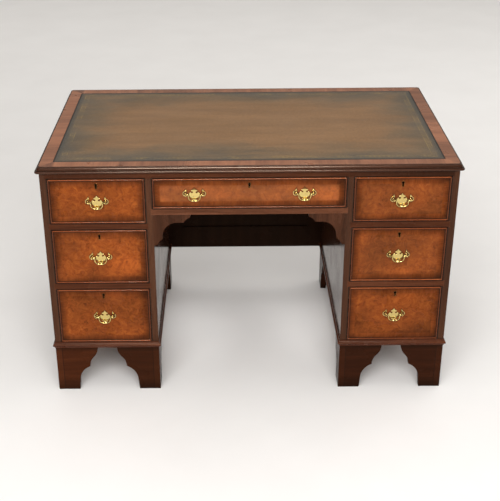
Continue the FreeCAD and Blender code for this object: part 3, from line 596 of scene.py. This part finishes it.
def dark_round(drawers):
    """A change of colour to painted shadow in the narrow gap round drawers."""
    boxes = [node_box(f"{drawer}_cock_bead") for drawer in drawers]

    def change(nodes, place, base):
        for low, high in boxes:
            middle, half = tuple((low + high) / 2), tuple((high - low) / 2)
            gap = nodes.group("drawer_gap", {"Vector": place, "Middle": middle, "Half": half})
            base = nodes.lay(base, WAX_AND_SHADE, gap["Mask"], share=0.95)
        return base

    return change


def grain_along(axis):
    """Grain along one axis of the desk."""
    order = {"X": "YZX", "Y": "ZXY", "Z": "XYZ"}[axis]

    def vector(nodes, place):
        parts = nodes.split(place)
        return nodes.join(*(parts[letter] for letter in order))

    return vector


def grain_round(low, high):
    """Grain along each strip of a mitred frame in plan, from its lowest and highest corner."""
    half = (high - low) / 2

    def vector(nodes, place):
        x, y, z = nodes.from_middle(place, low, high)
        edge = rectangle(nodes, x, y, half[0], half[1])
        return nodes.join(edge["Inset"], z, edge["Along"])

    return vector


def polished_wood(
    name, grain_vector, dark, middle, light, gloss=(0.2, 0.34), rub_and_highlight=0.25, sheen=0.2,
    relief=WOOD_RELIEF, changes=(),
):
    """Polished straight-grained wood.

    grain_vector is a function that gives, from the nodes and the place, a vector whose Z runs with
    the grain. changes are functions that change the colour from place to place.
    """
    material, nodes, shader, place = new_material(name)
    grain = nodes.group("straight_grain", {"Vector": grain_vector(nodes, place)})
    stripe = nodes.average(grain["Fibre"], 0.35, grain["Stripe"])
    base = nodes.ramp(stripe, (0.3, 0.5, 0.7), (dark, middle, light))
    base = nodes.lay(base, dark, grain["Pores"], share=0.55)
    for change in changes:
        base = change(nodes, place, base)
    base = darken_wax_and_shade(nodes, place, base, strength=0.75)
    edge = nodes.group("worn_and_lit_edge", {"Vector": place, "Radius": WORN_RADIUS})
    # Lighter arrises: part wear and part painted highlight
    base = nodes.lay(base, light, edge["Mask"], share=rub_and_highlight)
    film = nodes.group("hand_polish", {"Vector": place, "Low": gloss[0], "High": gloss[1]})
    shader.inputs["Specular IOR Level"].default_value = sheen
    shader.inputs["Specular Tint"].default_value = WARM_POLISH
    finish(nodes, shader, base, film["Roughness"])
    height = nodes.math("MULTIPLY_ADD", grain["Pores"], -0.4, film["Ripple"])
    raise_grain(nodes, shader, height, relief, edge["Normal"])
    return material


def burr_front(name, node, strength, faded_and_hazed):
    """Burr veneer on a drawer front, with a crossbanded border, darker towards its edges.

    strength scales the veneer's tone, which partly stands for painted light and shade; faded is the
    share of a paler tone, partly fading by light and partly a painted haze of reflection.
    """
    low, high = node_box(node)
    half = (high - low) / 2 - BEAD_THICKNESS
    material, nodes, shader, place = new_material(name)
    x, y, z = nodes.from_middle(place, low, high)
    edge = rectangle(nodes, x, z, half[0], half[2])
    burr = nodes.group("burr_figure", {"Vector": place})
    figure = nodes.average(burr["Fleck"], 0.3, burr["Curl"])
    field = nodes.ramp(figure, (0.3, 0.47, 0.68), BURR)
    field = nodes.lay(field, BURR_EYES, burr["Eyes"], share=0.6)
    # strength carries each drawer's own tone together with painted light and shade
    field = nodes.shade(field, nodes.carry(
        burr["Cloud"], 0.3, 0.7, start=0.56 * strength, end=1.26 * strength))
    # A paler tone mixed in, part fading by light and part painted haze of reflection
    field = nodes.mix(faded_and_hazed, field, FADED_AND_HAZED_BURR)
    across = nodes.join(edge["Along"], y, edge["Inset"])
    band_grain = nodes.group("straight_grain", {"Vector": across})
    stripe = nodes.average(band_grain["Stripe"], 0.5, band_grain["Fibre"])
    band = nodes.ramp(stripe, (0.3, 0.5, 0.72), FRONT_BAND)
    aged = nodes.mix(nodes.step(edge["Inset"], *FIELD_EDGE), band, field)
    patchy = nodes.noise(place, scale=11.0, detail=4.0, roughness=0.6)
    ragged = nodes.math("MULTIPLY_ADD", patchy, RAGGED_SPREAD, RAGGED_SHIFT)
    shade = 1.0
    for inset in (edge["Inset"], edge["Next Inset"]):
        uneven = nodes.math("ADD", inset, ragged)
        light = nodes.carry(uneven, 0.0, FRONT_SHADE, start=0.36, end=1.0)
        shade = nodes.math("MULTIPLY", shade, light)
    aged = nodes.shade(aged, shade)
    # Painted shade in a thin line along the inside of the cock bead
    aged = nodes.lay(aged, WAX_AND_SHADE, nodes.step(edge["Inset"], *BESIDE_BEAD), share=0.8)
    aged = darken_wax_and_shade(nodes, place, aged, strength=0.95)
    film = nodes.group("hand_polish", {"Vector": place, "Low": 0.2, "High": 0.36})
    rounded = nodes.group("worn_and_lit_edge", {"Vector": place, "Radius": VENEER_WORN_RADIUS})
    shader.inputs["Specular IOR Level"].default_value = 0.1
    shader.inputs["Specular Tint"].default_value = WARM_POLISH
    finish(nodes, shader, aged, film["Roughness"])
    height = nodes.math("MULTIPLY_ADD", burr["Fleck"], 0.3, film["Ripple"])
    raise_grain(nodes, shader, height, VENEER_RELIEF, rounded["Normal"])
    return material


def crossbanded_border(name, node):
    """Crossbanded veneer round the top: leaves laid end to end, each with its own tone."""
    low, high = node_box(node)
    half = (high - low) / 2
    material, nodes, shader, place = new_material(name)
    x, y, z = nodes.from_middle(place, low, high)
    edge = rectangle(nodes, x, y, half[0], half[1])
    across = nodes.join(edge["Along"], z, edge["Inset"])
    grain = nodes.group("straight_grain", {"Vector": across})
    stripe = nodes.average(grain["Stripe"], 0.6, grain["Fibre"])
    base = nodes.ramp(stripe, (0.3, 0.5, 0.7), TOP_BAND)
    leaf = nodes.math("FLOOR", nodes.math("DIVIDE", edge["Along"], VENEER_LEAF))
    strip = nodes.math("SIGN", nodes.math("ADD", x, y))
    chance = nodes.add(
        "ShaderNodeTexWhiteNoise", {"Vector": nodes.join(leaf, edge["End"], strip)},
        noise_dimensions="3D",
    )
    base = nodes.shade(base, nodes.carry(
        chance.outputs["Value"], 0.0, 1.0, start=0.78, end=1.22))
    rounded = nodes.group("worn_and_lit_edge", {"Vector": place, "Radius": VENEER_WORN_RADIUS})
    film = nodes.group("hand_polish", {"Vector": place, "Low": 0.26, "High": 0.4})
    shader.inputs["Specular IOR Level"].default_value = 0.3
    finish(nodes, shader, base, film["Roughness"])
    raise_grain(nodes, shader, film["Ripple"], VENEER_RELIEF, rounded["Normal"])
    return material


def tooled_border(nodes, inset, along):
    """Masks of the border tooled into the leather: its two lines, and the lozenges between them."""
    lines = 0.0
    for line in BORDER_LINES:
        apart = nodes.math("ABSOLUTE", nodes.math("SUBTRACT", inset, line))
        pressed = nodes.step(apart, BORDER_LINE_WIDTH, BORDER_LINE_WIDTH / 2)
        lines = nodes.math("MAXIMUM", lines, pressed)
    repeat = nodes.math("FRACT", nodes.math("DIVIDE", along, BORDER_REPEAT))
    way_along = nodes.math("ABSOLUTE", nodes.math("SUBTRACT", repeat, 0.5))
    from_line = nodes.math("ABSOLUTE", nodes.math("SUBTRACT", inset, sum(BORDER_LINES) / 2))
    diamond = nodes.math("ADD", way_along, nodes.math("DIVIDE", from_line, BORDER_REPEAT))
    lozenges = nodes.math(
        "MULTIPLY", nodes.step(diamond, 0.36, 0.31), nodes.step(diamond, 0.20, 0.25))
    return lines, lozenges


def worn_leather(name, low, high):
    """Old leather: brown where it was rubbed, grey-green at its edges, with a tooled border."""
    half = (high - low) / 2
    material, nodes, shader, place = new_material(name)
    offset = nodes.from_middle(place, low, high)
    edge = rectangle(nodes, offset["X"], offset["Y"], half[0], half[1])
    inset = edge["Inset"]
    cloud = nodes.drawn_noise(place, (4.5, 9.0, 1.0), detail=5.0, roughness=0.6, distortion=0.5)
    rubbed = nodes.math("MULTIPLY_ADD", cloud, 0.30, nodes.math("ADD", inset, -0.15))
    base = nodes.ramp(nodes.step(rubbed, -0.06, 0.20), (0.0, 0.5, 1.0), LEATHER)
    speckle = nodes.noise(place, scale=130.0, detail=5.0, roughness=0.65)
    base = nodes.shade(base, nodes.carry(speckle, 0.3, 0.7, start=0.8, end=1.18))
    streaks = nodes.drawn_noise(place, (3.0, 22.0, 1.0), detail=4.0, roughness=0.65)
    base = nodes.shade(base, nodes.carry(streaks, 0.3, 0.7, start=0.84, end=1.14))
    rim = nodes.step(inset, BORDER_LINES[0], BORDER_LINES[0] / 2)
    base = nodes.lay(base, LEATHER_RIM, rim, share=0.65)
    wear = nodes.step(nodes.noise(place, scale=24.0, detail=4.0), 0.38, 0.62)
    lines, lozenges = tooled_border(nodes, inset, edge["Along"])
    tooled = nodes.math("MAXIMUM", lines, lozenges)
    base = nodes.lay(base, GILT, tooled, share=nodes.math("MULTIPLY", wear, 0.8))
    # Dirt and painted shade along the leather's joint with the crossbanding
    base = nodes.lay(base, JOINT_DIRT_AND_SHADE, nodes.step(inset, *LEATHER_JOINT), share=0.9)
    rough = nodes.carry(nodes.noise(place, scale=6.0, detail=3.0), 0.3, 0.7, start=0.36, end=0.5)
    shader.inputs["Specular IOR Level"].default_value = 0.3
    finish(nodes, shader, base, rough)
    creases = nodes.add(
        "ShaderNodeTexVoronoi", {"Vector": place, "Scale": 520.0}, feature="DISTANCE_TO_EDGE")
    grain = nodes.step(creases.outputs["Distance"], 0.0, 0.16)
    pressed = nodes.math("MULTIPLY", lozenges, -0.9)
    height = nodes.math("MULTIPLY_ADD", grain, 0.5, pressed)
    raise_grain(nodes, shader, height, LEATHER_RELIEF)
    return material


def polished_brass(name, front_face, plate_top):
    """Cast brass: bright, but dark in hollows, above the plate and behind the drawer's face."""
    material, nodes, shader, place = new_material(name)
    parts = nodes.split(place)
    edge = nodes.group("worn_and_lit_edge", {"Vector": place, "Radius": BRASS_WORN_RADIUS})
    dull = nodes.step(nodes.noise(place, scale=210.0, detail=4.0, roughness=0.6), 0.52, 0.72)
    base = nodes.lay(BRASS, DULL_BRASS, dull, share=0.45)
    base = nodes.lay(base, BRIGHT_BRASS, edge["Mask"], share=0.5)
    above = nodes.step(parts["Z"], plate_top - SOFT_EDGE, plate_top + SOFT_EDGE)
    base = nodes.mix(above, base, AGED_BRASS)
    let_in = nodes.step(parts["Y"], front_face + LET_IN[0], front_face + LET_IN[1])
    hollows_darkened = darken_wax_and_shade(nodes, place, base, strength=0.7, reach=BRASS_WAX_AND_SHADE_REACH)
    shader.inputs["Metallic"].default_value = 1.0
    rough = nodes.math("MULTIPLY_ADD", dull, 0.16, 0.13)
    finish(nodes, shader, nodes.mix(let_in, hollows_darkened, WAX_AND_SHADE), rough)
    cast = nodes.noise(place, scale=620.0, detail=3.0)
    raise_grain(nodes, shader, cast, BRASS_RELIEF, edge["Normal"])
    return material


def pale_floor(name):
    """Pale studio floor with a faint mottle, and a painted glow far from the desk that fades it
    into the background.
    """
    material, nodes, shader, place = new_material(name)
    mottle = nodes.carry(
        nodes.noise(place, scale=3.0, detail=3.0), 0.3, 0.7, start=0.0, end=1.0)
    finish(nodes, shader, nodes.mix(mottle, *FLOOR_TONES), roughness=0.6)
    distance = nodes.vector("DOT_PRODUCT", place, place)
    far = nodes.step(distance, FADE_START ** 2, FADE_END ** 2)
    nodes.feed(shader.inputs["Emission Color"], nodes.mix(far, BLACK, FAR_GLOW))
    shader.inputs["Emission Strength"].default_value = 1.0
    return material


def new_piece(name, corners, faces, material):
    """A mesh object at the origin from its corners and faces."""
    mesh = bpy.data.meshes.new(name)
    mesh.from_pydata(corners, [], faces)
    mesh.materials.append(material)
    piece = bpy.data.objects.new(name, mesh)
    bpy.context.scene.collection.objects.link(piece)
    return piece


def smooth(piece):
    """Shade a piece smooth."""
    polygons = piece.data.polygons
    polygons.foreach_set("use_smooth", np.ones(len(polygons), bool))


def close_spaced(low, high, insets):
    """Places from low to high: given insets from both ends and even steps between them."""
    inner = np.linspace(low + insets[-1], high - insets[-1], FIELD_STEPS)[1:-1]
    return np.concatenate([low + insets, inner, high - insets[::-1]])


def slab_faces(columns, rows):
    """Quads of a closed slab whose corners are an upper grid followed by a lower one."""
    index = np.arange(columns * rows).reshape(columns, rows)
    quads = np.stack(
        [index[:-1, :-1], index[1:, :-1], index[1:, 1:], index[:-1, 1:]], axis=-1).reshape(-1, 4)
    under = quads[:, ::-1] + columns * rows
    rim = np.concatenate([index[:, 0], index[-1, 1:], index[-2::-1, -1], index[0, -2:0:-1]])
    following = np.roll(rim, -1)
    skirt = np.stack(
        [rim, rim + columns * rows, following + columns * rows, following], axis=-1)
    return np.concatenate([quads, under, skirt]).tolist()


def tooled_leather(node):
    """The leather of the top, let down a little into its edge and pressed along two border lines.

    The height is the leather's face less a rounded drop at the edge, which is a quarter circle in
    the distance from the edge, less a cosine groove at each border line.
    """
    low, high = node_box(node)
    tooling = np.arange(
        BORDER_LINES[0] - BORDER_ROOM, BORDER_LINES[1] + BORDER_ROOM, BORDER_LINE_WIDTH / 3)
    roll = np.linspace(0, LEATHER_ROLL, ROLL_STEPS)
    insets = np.concatenate([roll, PLAIN_INSETS, tooling, [FIELD_INSET]])
    across = close_spaced(low[0], high[0], insets)
    along = close_spaced(low[1], high[1], insets)
    x, y = np.meshgrid(across, along, indexing="ij")
    from_end = np.minimum(x - low[0], high[0] - x)
    inset = np.minimum(from_end, np.minimum(y - low[1], high[1] - y))
    short = np.clip(1 - inset / LEATHER_ROLL, 0, 1)
    z = high[2] - LEATHER_ROLL * (1 - np.sqrt(1 - short ** 2)) / 2
    for line in BORDER_LINES:
        phase = np.clip((inset - line) / BORDER_LINE_WIDTH, -1, 1)
        z = z - BORDER_LINE_DEPTH * (1 + np.cos(np.pi * phase)) / 2
    upper = np.stack([x, y, z], axis=-1).reshape(-1, 3)
    lower = np.stack([x, y, np.full_like(z, low[2])], axis=-1).reshape(-1, 3)
    piece = new_piece(
        "tooled_leather", np.concatenate([upper, lower]).tolist(), slab_faces(*x.shape),
        worn_leather("worn_leather", low, high),
    )
    smooth(piece)
    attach(piece, "carcass")
    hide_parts(node)


def edge_profile():
    """The moulding of the top in (outward, up): a bead with a thumb above it.

    The bead is a half ellipse, which swells with the sine of the angle and rises with its cosine.
    Above a sunk line the thumb is a quarter ellipse, which falls back with the cosine and rises
    with the sine, up to a small upright step under the top's face.
    """
    half_turn = np.linspace(0, np.pi, BEAD_STEPS)
    quarter_turn = np.linspace(0, np.pi / 2, THUMB_STEPS)
    bead_middle = (EDGE_BEAD_LOW + EDGE_BEAD_HIGH) / 2
    bead = np.stack([
        EDGE_BEAD_ROOT + (EDGE_WIDTH - EDGE_BEAD_ROOT) * np.sin(half_turn),
        bead_middle - (EDGE_BEAD_HIGH - bead_middle) * np.cos(half_turn)], axis=-1)
    thumb = np.stack([
        EDGE_THUMB_BACK + (EDGE_THUMB_NOSE - EDGE_THUMB_BACK) * np.cos(quarter_turn),
        EDGE_THUMB_LOW + (EDGE_THUMB_HIGH - EDGE_THUMB_LOW) * np.sin(quarter_turn)], axis=-1)
    foot = [(0, 0), (EDGE_FOOT, 0)]
    sunk = [(EDGE_QUIRK, EDGE_BEAD_HIGH), (EDGE_QUIRK, EDGE_THUMB_LOW)]
    step = [(EDGE_THUMB_BACK, EDGE_HEIGHT), (0, EDGE_HEIGHT)]
    return np.concatenate([foot, bead, sunk, thumb, step])


def rounded_frame(name, node, profile, inner_radius, material):
    """A frame in place of a CAD one: a profile carried round a rectangle with rounded corners.

    Each point of the profile, given outward and up from its inner lower edge, goes round a
    rectangle that is set in from the outer one. Its corners are quarter circles, whose radius runs
    evenly from the inner radius at the inner edge to the plan radius at the outer one.
    """
    low, high = node_box(node)
    middle, half = (low + high) / 2, (high - low) / 2
    outward, up = profile.T[:, :, None]
    width = outward.max()
    radius = inner_radius + (PLAN_RADIUS - inner_radius) * outward / width
    quarter = np.linspace(0, np.pi / 2, PLAN_STEPS)
    angle = (np.arange(4)[:, None] * np.pi / 2 + quarter).ravel()
    reach = outward - width - radius
    x_side = np.repeat([1, -1, -1, 1], PLAN_STEPS)
    y_side = np.repeat([1, 1, -1, -1], PLAN_STEPS)
    x = middle[0] + x_side * (half[0] + reach) + radius * np.cos(angle)
    y = middle[1] + y_side * (half[1] + reach) + radius * np.sin(angle)
    z = low[2] + up + np.zeros_like(angle)
    index = np.arange(x.size).reshape(x.shape)
    above, beside = np.roll(index, -1, axis=0), np.roll(index, -1, axis=1)
    beside_above = np.roll(beside, -1, axis=0)
    faces = np.stack([index, beside, beside_above, above], axis=-1).reshape(-1, 4)
    corners = np.stack([x, y, z], axis=-1).reshape(-1, 3)
    piece = new_piece(name, corners.tolist(), faces.tolist(), material)
    smooth(piece)
    piece.data.set_sharp_from_angle(angle=SHARP_FOLD)
    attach(piece, "carcass")
    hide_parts(node)


def dress(node, material):
    """Give a CAD node its finish."""
    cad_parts[node].data.materials[0] = material


# Carcass
for node in ("bottom_boards", "top_board"):
    dress(node, polished_wood(f"walnut_{node}", grain_along("X"), *WALNUT, sheen=0.1))
dress("frieze_rail", polished_wood(
    "walnut_frieze", grain_along("X"), *RAIL_WALNUT, sheen=0.1,
    changes=(
        dark_ends(RAIL_WALNUT[0]), dark_across(*FRIEZE_DARK, SHADED_WALNUT),
        dark_round(("left_top_drawer", "right_top_drawer", "centre_drawer")))))
dress("kneehole_rail", polished_wood(
    "walnut_kneehole_rail", grain_along("X"), *KNEEHOLE_WALNUT, sheen=0.1,
    changes=(dark_round(("centre_drawer",)),)))
dress("kneehole_spandrels", polished_wood(
    "walnut_spandrels", grain_along("Z"), *SPANDREL_WALNUT, sheen=0.12))
# The kneehole back's front is painted in shade
dress("kneehole_back", polished_wood(
    "walnut_kneehole_back", grain_along("Z"), *SIDE_WALNUT, sheen=0.05,
    changes=(dark_before(node_box("kneehole_back")[1][1] - BACK_REBATE, SHADED_WALNUT),)))
moulding_finish = polished_wood(
    "walnut_top_edge", grain_round(*node_box("top_edge_moulding")), *EDGE_WALNUT,
    gloss=(0.14, 0.22), rub_and_highlight=0.25, sheen=0.45, relief=FINE_RELIEF,
    changes=(dark_ends(EDGE_WALNUT[0]),))
rounded_frame(
    "moulded_edge", "top_edge_moulding", edge_profile(), PLAN_RADIUS,
    moulding_finish)
for hand in HANDS:
    gaps = dark_round([drawer for drawer in DRAWERS if drawer.startswith((hand, "centre"))])
    dress(f"{hand}_drawer_rails", polished_wood(
        f"walnut_{hand}_rails", grain_along("X"), *RAIL_WALNUT, sheen=0.1, changes=(gaps,)))
    sides = polished_wood(
        f"walnut_{hand}_sides", grain_along("Z"), *SIDE_WALNUT, gloss=(0.1, 0.2),
        changes=(gaps,))
    for node in (f"{hand}_back_panel", f"{hand}_outer_side", f"{hand}_inner_side"):
        dress(node, sides)
    dress(f"{hand}_base_moulding", polished_wood(
        f"walnut_{hand}_base", grain_round(*node_box(f"{hand}_base_moulding")), *BASE_WALNUT,
        rub_and_highlight=0.25, sheen=0.15, relief=FINE_RELIEF))
    feet_box = node_box(f"{hand}_bracket_feet")
    foot_changes = [
        side_boards_show(*feet_box, LIT_AND_SHADED_FOOT_WALNUT[hand][-1]),
        dark_top_and_toe(*feet_box, SHADED_WALNUT)]
    if hand == "left":
        foot_changes.append(dark_across(*LEFT_FOOT_DARK, SHADED_WALNUT))
    dress(f"{hand}_bracket_feet", polished_wood(
        f"walnut_{hand}_feet", grain_round(*feet_box), *LIT_AND_SHADED_FOOT_WALNUT[hand], rub_and_highlight=0.5, sheen=0.06,
        changes=foot_changes))

# Drawers
lining = polished_wood("plain_lining", grain_along("Y"), *LINING, gloss=(0.5, 0.65), rub_and_highlight=0.15)
front_face = node_box("centre_drawer_front")[0][1]
bail_brass = polished_brass("brass_bails", front_face, cad_high[2])
for drawer, strength, faded_and_hazed in zip(DRAWERS, VENEER_TONE_AND_LIGHT, VENEER_FADED_AND_HAZED):
    dress(f"{drawer}_front", burr_front(f"burr_{drawer}", f"{drawer}_front", strength, faded_and_hazed))
    dress(f"{drawer}_cock_bead", polished_wood(
        f"walnut_{drawer}_bead", grain_along("X"), *BEAD_WALNUT_AND_HIGHLIGHT, gloss=(0.1, 0.18), rub_and_highlight=0.4,
        sheen=0.35, relief=FINE_RELIEF,
        changes=(dark_uprights(*node_box(f"{drawer}_cock_bead"), BEAD_WALNUT_AND_HIGHLIGHT[0]),)))
    dress(f"{drawer}_box", lining)
    plate_top = node_box(f"{drawer}_brasses")[1][2] - LOCK_ABOVE_PLATE
    dress(f"{drawer}_brasses", polished_brass(f"brass_{drawer}", front_face, plate_top))
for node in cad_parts:
    if node.endswith("_bail"):
        dress(node, bail_brass)
    elif node.endswith("_runners"):
        dress(node, lining)

# Top
banding_low, banding_high = node_box("top_crossbanding")
banding_width = banding_high[0] - node_box("leather_inlay")[1][0]
banding_thickness = banding_high[2] - banding_low[2]
banding_profile = np.array([
    (0, 0), (banding_width, 0), (banding_width, banding_thickness), (0, banding_thickness)])
rounded_frame(
    "crossbanding", "top_crossbanding", banding_profile, LEATHER_CORNER,
    crossbanded_border("crossbanded_border", "top_crossbanding"))
tooled_leather("leather_inlay")

# Floor
floor_corners = [
    (-FLOOR_HALF, -FLOOR_HALF, 0), (FLOOR_HALF, -FLOOR_HALF, 0),
    (FLOOR_HALF, FLOOR_HALF, 0), (-FLOOR_HALF, FLOOR_HALF, 0)]
floor = new_piece("floor", floor_corners, [(0, 1, 2, 3)], pale_floor("pale_floor"))


def softbox(name, place, target, width, height, power, spread=180, diffuse=True, glossy=True):
    """A soft rectangular light turned to a point, with the angle that it spreads over.

    Without diffuse it only shows as a reflection, and without glossy it has none.
    """
    light = bpy.data.lights.new(name, "AREA")
    light.shape = "RECTANGLE"
    light.size = width
    light.size_y = height
    light.energy = power
    light.spread = radians(spread)
    lamp = bpy.data.objects.new(name, light)
    lamp.location = place
    lamp.rotation_euler = (Vector(target) - Vector(place)).to_track_quat("-Z", "Y").to_euler()
    lamp.visible_diffuse = diffuse
    lamp.visible_glossy = glossy
    bpy.context.scene.collection.objects.link(lamp)


# Lights: a key in front, two small ones in the kneehole, a reflection from the front, and fills
softbox(
    "key_softbox", place=(-0.3, -3.4, 2.8), target=(0, 0, 0.2), width=3.4, height=1.8,
    power=168, glossy=False)
for hand, side, power in (("left", -0.21, 0.10), ("right", 0.21, 0.085)):
    softbox(
        f"{hand}_kneehole_softbox", place=(side, 0.02, 0.5), target=(side, 0.02, 0), width=0.1,
        height=0.36, power=power, spread=56, glossy=False)
softbox(
    "front_softbox", place=(-0.15, -3.4, 2.7), target=(0, -0.3, 0.7), width=1.7, height=1.0,
    power=190, diffuse=False)
softbox(
    "top_softbox", place=(0.1, -0.9, 3.4), target=(0, -0.2, 0), width=3.0, height=1.6, power=22)
softbox(
    "back_softbox", place=(0.6, 4.2, 3.6), target=(0.6, 4.2, 0), width=12.0, height=5.0,
    power=106, spread=135)
softbox(
    "right_softbox", place=(3.5, 1.2, 3.0), target=(3.2, 1.1, 0), width=2.6, height=3.0,
    power=24, spread=120)

world = bpy.data.worlds.new("studio")
world.use_nodes = True
sky = Nodes(world.node_tree)
seen = sky.add("ShaderNodeLightPath").outputs["Is Camera Ray"]
background = world.node_tree.nodes["Background"]
background.inputs["Color"].default_value = SKY_TONE
sky.feed(background.inputs["Strength"], sky.carry(seen, 0.0, 1.0, SKY_FILL, SKY_SEEN))
bpy.context.scene.world = world
bpy.context.scene.view_settings.view_transform = "Standard"

camera_data = bpy.data.cameras.new("camera")
camera_data.sensor_fit = "HORIZONTAL"
camera_data.sensor_width = SENSOR_WIDTH
camera_data.lens = SENSOR_WIDTH * FOCAL_PIXELS / IMAGE_WIDTH
camera_data.shift_x = (IMAGE_WIDTH / 2 - PRINCIPAL_POINT[0]) / IMAGE_WIDTH
camera_data.shift_y = (PRINCIPAL_POINT[1] - IMAGE_HEIGHT / 2) / IMAGE_WIDTH
camera = bpy.data.objects.new("camera", camera_data)
yaw = Matrix.Rotation(-radians(CAMERA_YAW), 4, "Z")
pitch = Matrix.Rotation(radians(90 - CAMERA_PITCH), 4, "X")
roll = Matrix.Rotation(radians(CAMERA_ROLL), 4, "Z")
camera.matrix_world = Matrix.Translation(CAMERA_PLACE) @ (yaw @ pitch @ roll)
bpy.context.scene.collection.objects.link(camera)
bpy.context.scene.camera = camera
